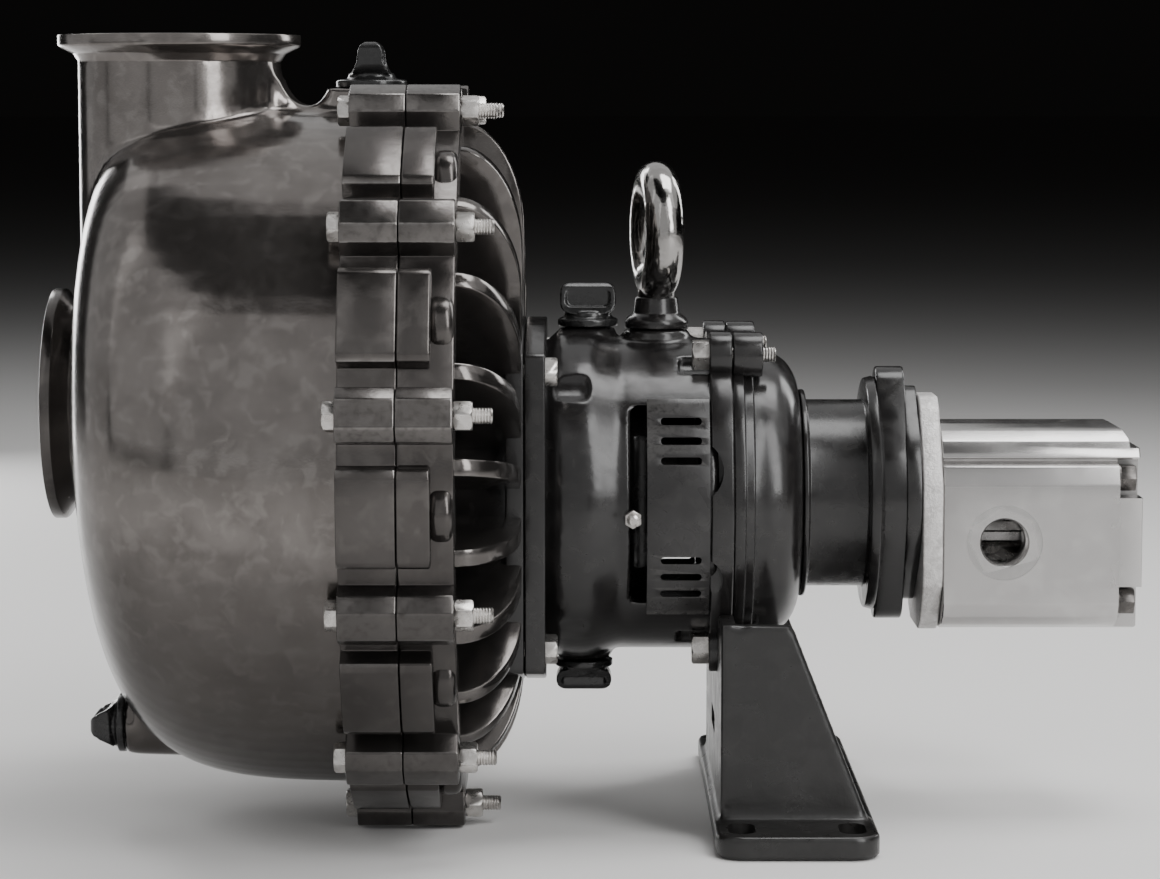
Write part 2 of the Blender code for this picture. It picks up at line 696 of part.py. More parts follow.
def motor_outline():
    """Cross-section of the motor body, flat on the sides with stepped shoulders."""
    half = [(0.0120, BODY_TOP_Z), (0.0220, 0.1962), (0.0290, 0.1915), (0.0330, 0.1862), (0.0345, 0.1832)]
    half += [(0.0330, 0.1822), (0.0345, 0.1810), (0.0400, 0.1795), (0.0440, 0.1706), (0.0440, 0.1106)]
    half += [(0.0400, 0.1030), (0.0330, 0.0985), (0.0230, 0.0955), (0.0120, BODY_BOTTOM_Z)]
    left = [(-y, z) for y, z in half]
    right = [(y, z) for y, z in reversed(half)]
    return left + right


def gear_centres():
    """Centres of the two gears in the motor."""
    return [(0.0, SHAFT_Z), (0.0, SHAFT_Z - GEAR_SPACING)]


def build_motor_cover():
    """Front cover of the motor: a flat casting with a short ear above the body."""
    half = [(0.0110, 0.2127), (0.0200, 0.2075), (0.0445, 0.1725), (0.0460, 0.1680), (0.0460, 0.1250)]
    half += [(0.0440, 0.1190), (0.0280, 0.0990), (0.0180, 0.0940), (0.0, 0.0932)]
    left = [(-y, z) for y, z in half]
    right = [(y, z) for y, z in reversed(half[:-1])]
    cover = prism("motor_front_cover", "X", COVER_X0, COVER_X1, left + right)
    cut(
        cover,
        rod("bore", "X", (0.0, SHAFT_Z), 0.0094, 0.05, 0.09, 24),
        rod("hole", "X", (0.0, SHAFT_Z + MOTOR_BOLT_OFFSET), 0.0058, 0.05, 0.09, 12),
    )
    return cover


def motor_bolt_centres():
    """Centres of the four long bolts of the motor."""
    return [(side * MOTOR_BOLT_Y, z) for side in (-1, 1) for z in MOTOR_BOLT_Z]


def build_motor_body():
    """Motor body: an extruded block with two ports that open on the gears."""
    body = prism("motor_body", "X", COVER_X1 + GAP, BODY_X1, motor_outline())
    bm = bmesh.new()
    for side in (-1, 1):
        ends = sorted((side * 0.0436, side * 0.08))
        face = [(y, SPOTFACE_R) for y in ends]
        fill_loft(bm, revolve_rings("Y", (MOTOR_PORT_X, MOTOR_PORT_Z), face, 32))
    notches = []
    for low, high in BODY_NOTCHES_Z:
        for side in (-1, 1):
            near, far = sorted((side * BODY_NOTCH_Y, side * 0.0600))
            notches.append(block("notch", (BODY_STEP_X, near, low), (BODY_X1 + 0.01, far, high)))
    above = BODY_TOP_Z + 0.02
    behind = BODY_X1 + 0.02
    slope = [(BODY_SLOPE[0][0], above), *BODY_SLOPE, (behind, BODY_SLOPE[-1][1]), (behind, above)]
    cut(
        body,
        *notches,
        prism("slope", "Y", -0.06, 0.06, slope),
        many("chamber", "X", gear_centres(), 0.0222, 0.0915, 0.1245, 32),
        rod("port", "Y", (MOTOR_PORT_X, MOTOR_PORT_Z), MOTOR_PORT_R, -0.08, 0.08, 28),
        make_object("spotface", bm),
        rod("shaft_bore", "X", (0.0, SHAFT_Z), 0.0094, 0.05, 0.1000, 24),
    )
    add(body, many("heads", "X", motor_bolt_centres(), MOTOR_HEAD_R, BODY_STEP_X - 0.002, MOTOR_HEAD_X1, 6))
    return body


def gear_outline(centre_z, turn):
    """Outline of one gear with trapezoid teeth."""
    points = []
    pitch = 2.0 * math.pi / GEAR_TEETH
    for i in range(GEAR_TEETH):
        mid = turn + i * pitch
        for radius, half in GEAR_TOOTH:
            angle = mid + pitch * half
            points.append((radius * math.cos(angle), centre_z + radius * math.sin(angle)))
    return points


def build_gears():
    """Driving gear with the motor shaft, and the driven gear below it."""
    driver = prism("motor_drive_gear", "X", GEAR_X0, GEAR_X1, gear_outline(SHAFT_Z, math.radians(90)))
    add(driver, rod("shaft", "X", (0.0, SHAFT_Z), MOTOR_SHAFT_R, -0.0410, GEAR_X0 + 0.004, 28))
    lower = gear_outline(SHAFT_Z - GEAR_SPACING, math.radians(75))
    driven = prism("motor_driven_gear", "X", GEAR_X0, GEAR_X1, lower)
    return [driver, driven]


def build_support_foot():
    """Foot: a base plate with four slots, a web across the shaft and two tapered side plates."""
    corners = [(FOOT_X0, -FOOT_HALF_Y), (FOOT_X1, -FOOT_HALF_Y)]
    corners += [(FOOT_X1, FOOT_HALF_Y), (FOOT_X0, FOOT_HALF_Y)]
    foot = prism("support_foot", "Z", 0.0, FOOT_PLATE, rounded_outline(corners, 0.0130, 5))
    low = FOOT_PLATE - 0.002
    web = [(-GUSSET_Y, low), (-GUSSET_Y, GUSSET_TOP_Z), (GUSSET_Y, GUSSET_TOP_Z), (GUSSET_Y, low)]
    parts = [prism("web", "X", WEB_X0, WEB_X1, web)]
    outline = [(WEB_X0 + 0.0002, low), (GUSSET_BASE_X, low), (GUSSET_BASE_X - 0.0022, FOOT_PLATE + 0.0030)]
    outline += [(GUSSET_TOP_X + 0.0020, GUSSET_TOP_Z - 0.0040), (GUSSET_TOP_X, GUSSET_TOP_Z - 0.0008)]
    outline += [(WEB_X0 + 0.0002, GUSSET_TOP_Z - 0.0008)]
    for side in (-1, 1):
        ends = sorted((side * (GUSSET_Y - 0.0002), side * (GUSSET_Y - GUSSET_THICK)))
        parts.append(prism("gusset", "Y", ends[0], ends[1], outline))
    add(foot, *parts)
    slots = bmesh.new()
    for x in (-FOOT_SLOT_X, FOOT_SLOT_X):
        for y in (-FOOT_SLOT_Y, FOOT_SLOT_Y):
            ring = arc(x, y + FOOT_SLOT_HALF, FOOT_SLOT_R, 0, 180, 7)
            ring += arc(x, y - FOOT_SLOT_HALF, FOOT_SLOT_R, 180, 360, 7)
            fill_loft(slots, [ring_at("Z", z, (0.0, 0.0), ring) for z in (-0.02, 0.04)])
    cut(
        foot,
        rod("relief", "X", (0.0, SHAFT_Z), REAR_FLANGE_R + 0.0006, -0.10, 0.10, 64),
        many("lug_reliefs", "X", rear_bolt_centres(), REAR_LUG_R + 0.0006, -0.10, 0.01, 16),
        make_object("slots", slots),
        block("web_slot", (-0.05, -0.0200, 0.0400), (-0.02, 0.0200, 0.0500)),
    )
    return foot


def build_lifting_eye():
    """Lifting eye: a forged ring with a collar and a threaded shank."""
    rings = []
    turn = math.radians(EYE_TURN_DEG)
    for i in range(26):
        a = 2.0 * math.pi * i / 26
        ring = []
        for b, c in circle(EYE_BAR_R, 9):
            reach = EYE_RING_R + b
            flat = Matrix.Rotation(turn, 3, "Z") @ Vector((c, reach * math.cos(a), reach * math.sin(a)))
            ring.append((EYE_X + flat.x, flat.y, EYE_CENTRE_Z + flat.z))
        rings.append(ring)
    eye = loft("lifting_eye", rings, closed=True)
    top = SHAFT_Z + 0.0845 + GAP
    profile = [(top - 0.020, 0.0), (top - 0.020, 0.0062), (top, 0.0062), (top, 0.0165)]
    ring_bottom = EYE_CENTRE_Z - EYE_RING_R
    profile += [(top + 0.0035, 0.0165), (top + 0.0060, 0.0110), (ring_bottom, 0.0090), (ring_bottom, 0.0)]
    add(eye, turned("eye_shank_tool", "Z", (EYE_X, 0.0), profile, 20))
    return eye


def oblong(half_long, half_short, count=24, along="A"):
    """Rounded rectangle with as many points as the round rings it joins, long along A or B."""
    half_a, half_b = (half_long, half_short) if along == "A" else (half_short, half_long)
    points = []
    for i in range(count):
        t = 2.0 * math.pi * i / count
        c = math.cos(t)
        s = math.sin(t)
        points.append((half_a * math.copysign(abs(c) ** 0.5, c), half_b * math.copysign(abs(s) ** 0.5, s)))
    return points


def wing_plug(name, axis, centre, seat, out, height, base, along):
    """Plug with a round base that flares in to a flat wing to turn it by."""
    steps = [(0.0, circle(base, 24)), (0.0032, circle(base, 24)), (0.0044, circle(base - 0.0030, 24))]
    steps += [(0.0066, oblong(0.0142, 0.0112, 24, along)), (0.0100, oblong(0.0150, 0.0088, 24, along))]
    steps += [(height - 0.0036, oblong(0.0155, 0.0078, 24, along))]
    steps += [(height - 0.0010, oblong(0.0148, 0.0064, 24, along))]
    steps += [(height, oblong(0.0125, 0.0042, 24, along))]
    rings = [ring_at(axis, seat + out * distance, centre, points) for distance, points in steps]
    return loft(name, rings)


def build_plugs():
    """Four turn-by-hand plugs: priming, casing drain, oil fill and oil drain."""
    oil_top = SHAFT_Z + 0.0855 + GAP
    oil_bottom = SHAFT_Z - 0.0855 - GAP
    return [
        wing_plug("priming_plug", "Z", (PRIMING_X, 0.0), TOP_PAD_Z + GAP, 1.0, 0.0230, 0.0182, "B"),
        wing_plug("drain_plug", "X", DRAIN_CENTRE, DRAIN_SEAT_X - GAP, -1.0, 0.0175, 0.0153, "A"),
        wing_plug("oil_fill_plug", "Z", (OIL_FILL_X, 0.0), oil_top, 1.0, 0.0220, 0.0155, "A"),
        wing_plug("oil_drain_plug", "Z", (OIL_DRAIN_X, 0.0), oil_bottom, -1.0, 0.0160, 0.0150, "A"),
    ]


def hexagon(across):
    """Twelve points on a hexagon, corners and middles of its sides."""
    corner = across / math.sqrt(3.0)
    points = []
    for i in range(12):
        radius = corner if i % 2 == 0 else across / 2.0
        angle = i * math.pi / 6
        points.append((radius * math.cos(angle), radius * math.sin(angle)))
    return points


def hex_screw(name, centre, steps):
    """Screw lofted from steps of (x, kind, size), where the kind is hexagon or round."""
    rings = []
    for x, kind, size in steps:
        points = hexagon(size) if kind == "hex" else circle(size, 12)
        rings.append(ring_at("X", x, centre, points))
    return loft(name, rings)


def build_casing_bolts():
    """Through bolts of the casing joint, each with its nut."""
    bolts = []
    head = CASING_FLANGE_X - GAP
    nut = ADAPTER_BACK_X + GAP
    for index, centre in enumerate(on_circle((0.0, CASING_Z), CASING_BOLT_R, casing_bolt_angles())):
        steps = [(head - 0.0056, "hex", 0.0130), (head, "hex", 0.0130), (head, "round", M8_R)]
        steps += [(nut, "round", M8_R), (nut, "hex", 0.0130), (nut + 0.0087, "hex", 0.0130)]
        steps += [(nut + 0.0087, "round", M8_R), (nut + 0.0180, "round", M8_R)]
        bolts.append(hex_screw(f"casing_bolt_{index + 1:02d}", centre, steps))
    return bolts


def build_frame_bolts():
    """Screws of the frame's two flanges."""
    screws = []
    seat = FRONT_SEAT_X + GAP
    for index, centre in enumerate(front_bolt_centres()):
        steps = [(HUB_X - 0.0060, "round", 0.0036), (seat, "round", 0.0036), (seat, "hex", 0.0128)]
        steps += [(seat + 0.0060, "hex", 0.0128)]
        screws.append(hex_screw(f"front_flange_bolt_{index + 1}", centre, steps))
    seat = REAR_SEAT_X - GAP
    for index, centre in enumerate(rear_bolt_centres()):
        steps = [(seat - 0.0085, "hex", 0.0140), (seat, "hex", 0.0140)]
        steps += [(seat, "round", M8_R), (-0.0074, "round", M8_R)]
        screws.append(hex_screw(f"rear_flange_bolt_{index + 1}", centre, steps))
    return screws


def build_grease_nipple():
    """Grease nipple on the near side of the frame."""
    profile = [(-0.0799, 0.0), (-0.0799, 0.0046), (-0.0842, 0.0046)]
    profile += [(-0.0842, 0.0026), (-0.0868, 0.0024), (-0.0880, 0.0032), (-0.0896, 0.0026), (-0.0900, 0.0)]
    return turned("grease_nipple", "Y", (-0.0790, SHAFT_Z - 0.0040), profile, 16)


def main():
    """Build every sub-part and give each its material."""
    clear_scene()
    cast_grey = ("cast_grey", (0.105, 0.096, 0.090), 0.42, 0.55)
    dark_cast = ("dark_cast", (0.040, 0.037, 0.035), 0.36, 0.40)
    black_paint = ("black_paint", (0.013, 0.012, 0.012), 0.26, 0.0)
    satin_black = ("satin_black", (0.018, 0.017, 0.017), 0.48, 0.0)
    zinc = ("zinc", (0.520, 0.500, 0.480), 0.30, 0.95)
    steel = ("polished_steel", (0.300, 0.290, 0.280), 0.18, 1.0)
    aluminium = ("aluminium", (0.560, 0.545, 0.535), 0.34, 0.90)
    cast_alloy = ("cast_alloy", (0.480, 0.465, 0.455), 0.58, 0.70)
    plug_black = ("plug_black", (0.016, 0.016, 0.016), 0.24, 0.0)

    looks = [
        (build_volute_casing(), cast_grey),
        (build_rear_adapter(), dark_cast),
        (build_impeller(), dark_cast),
        (build_shaft(), steel),
        (build_bearing_frame(), black_paint),
        (build_coupling_guard("coupling_guard_near", -1), satin_black),
        (build_coupling_guard("coupling_guard_far", 1), satin_black),
        (build_end_bell(), black_paint),
        (build_motor_adapter(), black_paint),
        (build_motor_cover(), cast_alloy),
        (build_motor_body(), aluminium),
        (build_support_foot(), satin_black),
        (build_lifting_eye(), steel),
        (build_grease_nipple(), zinc),
    ]
    looks += [(hub, dark_cast) for hub in build_couplings()]
    looks += [(gear, steel) for gear in build_gears()]
    looks += [(plug, plug_black) for plug in build_plugs()]
    looks += [(bolt, zinc) for bolt in build_casing_bolts() + build_frame_bolts()]
    for obj, look in looks:
        name, colour, roughness, metallic = look
        obj.data.materials.append(make_material(obj.name + "_" + name, colour, roughness, metallic))


main()
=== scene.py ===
"""Looks of the hydraulic transfer pump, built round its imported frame.

Metres, +Z up. The origin is the middle of the foot's bottom face. +X runs from the casing to the motor,
and -Y is the side that the camera sees.
"""

import logging
import math
from collections.abc import Callable, Iterable, Sequence
from dataclasses import dataclass, field
from enum import Enum

import bmesh
import bpy
from mathutils import Matrix, Vector


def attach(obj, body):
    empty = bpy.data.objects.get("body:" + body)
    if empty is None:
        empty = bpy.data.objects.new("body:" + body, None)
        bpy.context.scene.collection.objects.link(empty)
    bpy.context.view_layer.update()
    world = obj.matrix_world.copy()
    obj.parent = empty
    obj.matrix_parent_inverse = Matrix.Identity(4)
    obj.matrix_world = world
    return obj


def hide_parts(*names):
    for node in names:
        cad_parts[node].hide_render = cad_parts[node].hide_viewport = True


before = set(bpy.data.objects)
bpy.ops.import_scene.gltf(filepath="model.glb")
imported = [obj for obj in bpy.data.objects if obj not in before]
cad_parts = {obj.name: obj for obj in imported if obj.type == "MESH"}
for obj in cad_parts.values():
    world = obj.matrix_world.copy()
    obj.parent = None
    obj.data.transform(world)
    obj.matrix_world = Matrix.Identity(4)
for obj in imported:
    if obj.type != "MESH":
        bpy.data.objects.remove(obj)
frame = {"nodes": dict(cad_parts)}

LOG = logging.getLogger("pump")

Pair = tuple[float, float]
Colour = tuple[float, float, float]
Element = bmesh.types.BMVert | bmesh.types.BMEdge
Socket = bpy.types.NodeSocket

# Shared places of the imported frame.
CASING_Z = 0.186
SHAFT_Z = 0.162
SUCTION_Z = 0.208
GAP = 0.0003
SPLIT_X = -0.1900
FLANGE_X = -0.2176
PAD_X = -0.1740
BACK_X = -0.1634
HUB_X = -0.1326
TOP_PAD_Z = 0.3684
M8_R = 0.0039
PLATE_Z = SHAFT_Z - 0.0014
PLATE_HALF_Y = 0.0860
PLATE_HALF_Z = 0.0901
PLATE_SLANT = (0.0300, 0.0785)
ON_SHAFT: Pair = (0.0, SHAFT_Z)
ON_CASING: Pair = (0.0, CASING_Z)
DRAIN: Pair = (0.0, CASING_Z - 0.1436)
DRAIN_X = -0.3390
EYE_X = -0.0660
OIL_FILL_X = -0.1010
OIL_DRAIN_X = -0.1030
OIL_TOP = SHAFT_Z + 0.0855
OIL_BOTTOM = SHAFT_Z - 0.0855
SHAFT_BORE_R = 0.0128
ADAPTER_BORE_R = 0.0210

# Heights where the painted shade on the lower castings starts and where it is full: they are drawn darker
# towards the bottom.
PAINTED_SHADE_TOP = 0.185
PAINTED_SHADE_FULL = 0.150

# Sides of the flange's bumps, as (share of the half width, share of the height given up).
PAD_SHAPE = ((1.0, 1.0), (0.96, 0.16), (0.80, 0.0), (0.4, 0.0))
LOBE_SHAPE = ((1.0, 1.0), (0.97, 0.36), (0.50, 0.0))
BARE_SHAPE = ((1.0, 0.0), (0.33, 0.0))

# Stretches of noise, or of the mesh's curvature, that the layers of a finish fade over.
CLOUDS = (0.36, 0.62)
BLOTS = (0.50, 0.64)
RUBS = (0.66, 0.74)
RAGGED = (0.30, 0.52)
RIM = (0.55, 0.61)
HOLLOW = (0.49, 0.44)
MOTTLE = (0.34, 0.66)
RUB_STRETCH = (420.0, 60.0, 90.0)


class Axis(Enum):
    """Direction that a form is built along."""

    X = 0
    Y = 1
    Z = 2

    def place(self, along: float, a: float, b: float) -> Vector:
        """Return the point at a distance along the axis and at two places across it."""
        return Vector({0: (along, a, b), 1: (a, along, b), 2: (a, b, along)}[self.value])

    def direction(self) -> Vector:
        """Return the unit vector of the axis."""
        return self.place(1.0, 0.0, 0.0)

    def frame_at(self, along: float, centre: Pair) -> Matrix:
        """Matrix that stands a shape made about +Z on the axis.

        Args:
            along: Distance along the axis.
            centre: Place of the axis across it.

        Returns:
            The turn and the shift in one matrix.
        """
        turn = Vector((0.0, 0.0, 1.0)).rotation_difference(self.direction()).to_matrix().to_4x4()
        return Matrix.Translation(self.place(along, *centre)) @ turn


class Solver(Enum):
    """Boolean solver for a cut or a union."""

    EXACT = "EXACT"
    MANIFOLD = "MANIFOLD"


class Solid:
    """A closed form in the making, held as a bmesh."""

    def __init__(self) -> None:
        """Start empty."""
        self.mesh = bmesh.new()

    @classmethod
    def spun(cls, axis: Axis, centre: Pair, line: list[Pair], steps: int = 72) -> "Solid":
        """Turn a line about an axis.

        Args:
            axis: Axis to turn about.
            centre: Place of the axis across it.
            line: Points as (along, radius). The line is closed when neither end is on the axis.
            steps: Faces round the turn.

        Returns:
            The turned solid.
        """
        solid = cls()
        points = [axis.place(along, centre[0] + radius, centre[1]) for along, radius in line]
        verts = [solid.mesh.verts.new(point) for point in points]
        edges = [solid.mesh.edges.new(pair) for pair in zip(verts[:-1], verts[1:])]
        if line[0][1] > 0.0 and line[-1][1] > 0.0:
            edges.append(solid.mesh.edges.new((verts[-1], verts[0])))
        return solid.turned(verts + edges, axis.place(0.0, *centre), axis.direction(), steps).mended()

    def turned(self, geom: list[Element], middle: Vector, way: Vector, steps: int) -> "Solid":
        """Spin points and edges once round a line.

        Args:
            geom: Points and edges to spin.
            middle: Point on the line.
            way: Direction of the line.
            steps: Faces round the turn.

        Returns:
            The same solid.
        """
        bmesh.ops.spin(
            self.mesh, geom=geom, cent=middle, axis=way, angle=2.0 * math.pi, steps=steps, use_merge=True
        )
        return self

    @classmethod
    def slab(cls, axis: Axis, start: float, end: float, outline: list[Pair]) -> "Solid":
        """Extrude a flat outline along an axis.

        Args:
            axis: Direction of the extrusion.
            start: Where the first face lies along the axis.
            end: Where the second face lies along the axis.
            outline: Points of the outline across the axis.

        Returns:
            The extruded solid.
        """
        return cls.pushed([axis.place(start, a, b) for a, b in outline], axis.direction() * (end - start))

    @classmethod
    def pushed(cls, points: Iterable[Vector], travel: Vector) -> "Solid":
        """Extrude a flat outline in space.

        Args:
            points: Corners of the outline.
            travel: Way of the extrusion.

        Returns:
            The extruded solid.
        """
        solid = cls()
        face = solid.mesh.faces.new([solid.mesh.verts.new(point) for point in points])
        moved = bmesh.ops.extrude_face_region(solid.mesh, geom=[face])["geom"]
        far = [item for item in moved if isinstance(item, bmesh.types.BMVert)]
        bmesh.ops.translate(solid.mesh, verts=far, vec=travel)
        return solid.mended()

    @classmethod
    def bar(
        cls, axis: Axis, centre: Pair, radius: float, start: float, end: float, sides: int = 48
    ) -> "Solid":
        """Make a straight bar, round or with few sides.

        Args:
            axis: Direction of the bar.
            centre: Place of the bar across the axis.
            radius: Radius to the corners.
            start: Where it starts along the axis.
            end: Where it ends along the axis.
            sides: Number of sides.

        Returns:
            The bar.
        """
        solid = cls()
        bmesh.ops.create_cone(
            solid.mesh,
            cap_ends=True,
            segments=sides,
            radius1=radius,
            radius2=radius,
            depth=abs(end - start),
            matrix=axis.frame_at(0.5 * (start + end), centre),
        )
        return solid.mended()

    @classmethod
    def lofted(cls, axis: Axis, rings: list[tuple[float, Pair, float]], segments: int = 96) -> "Solid":
        """Bridge circles of different sizes and centres.

        Args:
            axis: Axis that the circles stand across.
            rings: Circles as (along, centre, radius).
            segments: Points of each circle.

        Returns:
            The solid with flat ends.
        """
        solid = cls()
        before: list[bmesh.types.BMEdge] = []
        for index, (along, centre, radius) in enumerate(rings):
            made = bmesh.ops.create_circle(
                solid.mesh,
                cap_ends=index in (0, len(rings) - 1),
                segments=segments,
                radius=radius,
                matrix=axis.frame_at(along, centre),
            )["verts"]
            ring = set(made)
            edges = [edge for edge in solid.mesh.edges if edge.verts[0] in ring and edge.verts[1] in ring]
            if before:
                bmesh.ops.bridge_loops(solid.mesh, edges=before + edges)
            before = edges
        return solid.mended()

    @classmethod
    def box(cls, low: tuple[float, float, float], high: tuple[float, float, float]) -> "Solid":
        """Make a block between two corners."""
        outline = [(low[1], low[2]), (high[1], low[2]), (high[1], high[2]), (low[1], high[2])]
        return cls.slab(Axis.X, low[0], high[0], outline)

    def mended(self) -> "Solid":
        """Merge doubled points and turn the faces outwards.

        Returns:
            The same solid.
        """
        bmesh.ops.remove_doubles(self.mesh, verts=self.mesh.verts[:], dist=1e-6)
        bmesh.ops.recalc_face_normals(self.mesh, faces=self.mesh.faces[:])
        return self

    def soften(self, width: float, segments: int = 2, angle: float = 28.0) -> "Solid":
        """Bevel every edge that is sharper than an angle.

        Args:
            width: Width of the bevel.
            segments: Faces across it.
            angle: Least angle between the faces, in degrees.

        Returns:
            The same solid.
        """
        limit = math.radians(angle)
        edges = [edge for edge in self.mesh.edges if edge.calc_face_angle(0.0) > limit]
        bmesh.ops.bevel(
            self.mesh,
            geom=edges,
            offset=width,
            segments=segments,
            profile=0.5,
            affect="EDGES",
            clamp_overlap=True,
            material=-1,
        )
        return self

    def ease_along(self, axis: Axis, width: float, segments: int = 4) -> "Solid":
        """Round the edges that run along an axis.

        Args:
            axis: Direction of the edges.
            width: Width of the rounding.
            segments: Faces across it.

        Returns:
            The same solid.
        """
        way = axis.direction()
        runs = [(edge, (edge.verts[1].co - edge.verts[0].co).normalized()) for edge in self.mesh.edges]
        edges = [edge for edge, run in runs if abs(run.dot(way)) > 0.999]
        bmesh.ops.bevel(
            self.mesh, geom=edges, offset=width, segments=segments, profile=0.5, affect="EDGES", material=-1
        )
        return self

    def join(self, *others: "Solid") -> "Solid":
        """Take in other solids as they are and free them.

        Args:
            others: Solids to take in.

        Returns:
            The same solid.
        """
        for other in others:
            mesh = other.as_mesh("joining")
            self.mesh.from_mesh(mesh)
            bpy.data.meshes.remove(mesh)
        return self

    def copied(self, matrix: Matrix) -> "Solid":
        """Copy the solid to another place.

        Args:
            matrix: The move.

        Returns:
            The copy.
        """
        twin = Solid()
        twin.mesh = self.mesh.copy()
        bmesh.ops.transform(twin.mesh, matrix=matrix, verts=twin.mesh.verts[:])
        if matrix.determinant() < 0.0:
            bmesh.ops.reverse_faces(twin.mesh, faces=twin.mesh.faces[:])
        return twin

    def as_mesh(self, name: str) -> bpy.types.Mesh:
        """Write the form to mesh data and free the bmesh.

        Args:
            name: Name of the mesh.

        Returns:
            The mesh.
        """
        mesh = bpy.data.meshes.new(name)
        self.mesh.to_mesh(mesh)
        self.mesh.free()
        return mesh

    def through(self, dress: Callable[[bpy.types.Object], None]) -> "Solid":
        """Apply modifiers to the form.

        Args:
            dress: Adds the modifiers to a scratch object.

        Returns:
            The same solid with the modifiers applied.
        """
        scratch = bpy.data.objects.new("scratch", self.as_mesh("scratch"))
        bpy.context.scene.collection.objects.link(scratch)
        dress(scratch)
        graph = bpy.context.evaluated_depsgraph_get()
        result = bpy.data.meshes.new_from_object(scratch.evaluated_get(graph))
        self.mesh = bmesh.new()
        self.mesh.from_mesh(result)
        old = scratch.data
        bpy.data.objects.remove(scratch)
        bpy.data.meshes.remove(old)
        bpy.data.meshes.remove(result)
        return self

    def combine(self, operation: str, tool: "Solid", solver: Solver) -> "Solid":
        """Cut or join with another solid by a Boolean and free that solid.

        Args:
            operation: The Boolean's operation.
            tool: The other solid.
            solver: Solver of the Boolean.

        Returns:
            The same solid.
        """
        helper = bpy.data.objects.new("tool", tool.as_mesh("tool"))
        bpy.context.scene.collection.objects.link(helper)

        def dress(scratch: bpy.types.Object) -> None:
            """Add the Boolean.

            Args:
                scratch: Object that gets it.
            """
            modifier = scratch.modifiers.new("cut", "BOOLEAN")
            modifier.operation = operation
            modifier.solver = solver.value
            modifier.object = helper

        self.through(dress)
        mesh = helper.data
        bpy.data.objects.remove(helper)
        bpy.data.meshes.remove(mesh)
        return self

    def carve(self, *tools: "Solid", solver: Solver = Solver.EXACT) -> "Solid":
        """Take the tools out, one after another.

        Args:
            tools: Solids to cut away, which are freed.
            solver: Solver of the Booleans.

        Returns:
            The same solid.
        """
        for tool in tools:
            self.combine("DIFFERENCE", tool, solver)
        return self

    def cast(self, grain: float, polish: int = 3) -> "Solid":
        """Run overlapping forms together into one cast skin.

        Args:
            grain: Size of the skin's faces.
            polish: Rounds of smoothing.

        Returns:
            The same solid with one skin.
        """

        def dress(scratch: bpy.types.Object) -> None:
            """Add the remesh and the smoothing.

            Args:
                scratch: Object that gets them.
            """
            skin = scratch.modifiers.new("skin", "REMESH")
            skin.mode = "VOXEL"
            skin.voxel_size = grain
            smooth = scratch.modifiers.new("polish", "SMOOTH")
            smooth.factor = 0.5
            smooth.iterations = polish

        return self.through(dress)

    def fillet(self, reach: int, rounds: int, angle: float = 14.0) -> "Solid":
        """Round the inner corners of a cast skin.

        Args:
            reach: How many faces either side of the corner are rounded.
            rounds: Rounds of smoothing.
            angle: Least hollow angle that counts as a corner, in degrees.

        Returns:
            The same solid.
        """
        limit = -math.radians(angle)
        near = {v for edge in self.mesh.edges if edge.calc_face_angle_signed(0.0) < limit for v in edge.verts}
        grown = set(near)
        for _ in range(reach):
            near = {edge.other_vert(v) for v in near for edge in v.link_edges} - grown
            grown |= near
        verts = list(grown)
        for _ in range(rounds):
            bmesh.ops.smooth_vert(
                self.mesh, verts=verts, factor=0.5, use_axis_x=True, use_axis_y=True, use_axis_z=True
            )
        return self


def arc(centre: Pair, radius: float, start: float, end: float, steps: int) -> list[Pair]:
    """Points of an arc, both ends included.

    Args:
        centre: Middle of the arc.
        radius: Its radius.
        start: First angle in degrees.
        end: Last angle in degrees.
        steps: Number of chords.

    Returns:
        The points.
    """
    angles = [math.radians(start + (end - start) * i / steps) for i in range(steps + 1)]
    return [(centre[0] + radius * math.cos(a), centre[1] + radius * math.sin(a)) for a in angles]


def mirrored(half: Sequence[Pair]) -> list[Pair]:
    """Close a half outline with its mirror image across the middle plane."""
    return [(-y, z) for y, z in half] + [(y, z) for y, z in reversed(half)]


def on_side(side: float, near: float, far: float) -> Pair:
    """Two distances from the middle plane on the side -1 or 1, the lower place first."""
    return (near, far) if side > 0.0 else (-far, -near)


def ring_of(centre: Pair, radius: float, angles: Iterable[float]) -> list[Pair]:
    """Centres on a circle across the shaft; angle 0 faces the near side, in radians."""
    return [(centre[0] - radius * math.cos(a), centre[1] + radius * math.sin(a)) for a in angles]


def four_angles(degrees: float) -> list[float]:
    """Four angles in radians, alike about both middle planes."""
    return [math.radians(a) for a in (degrees, 180.0 - degrees, 180.0 + degrees, -degrees)]


def threads(start: float, end: float, radius: float, pitch: float = 0.00125) -> list[Pair]:
    """Zigzag line of a thread, for turning.

    Args:
        start: Where it starts along the axis.
        end: Where it ends along the axis.
        radius: Radius of the crests.
        pitch: Distance between the crests.

    Returns:
        Points as (along, radius).
    """
    count = max(2, int(abs(end - start) / pitch))
    step = (end - start) / count
    line = []
    for i in range(count):
        line.append((start + step * i, radius))
        line.append((start + step * (i + 0.5), radius - 0.36 * pitch))
    return line + [(end, radius)]


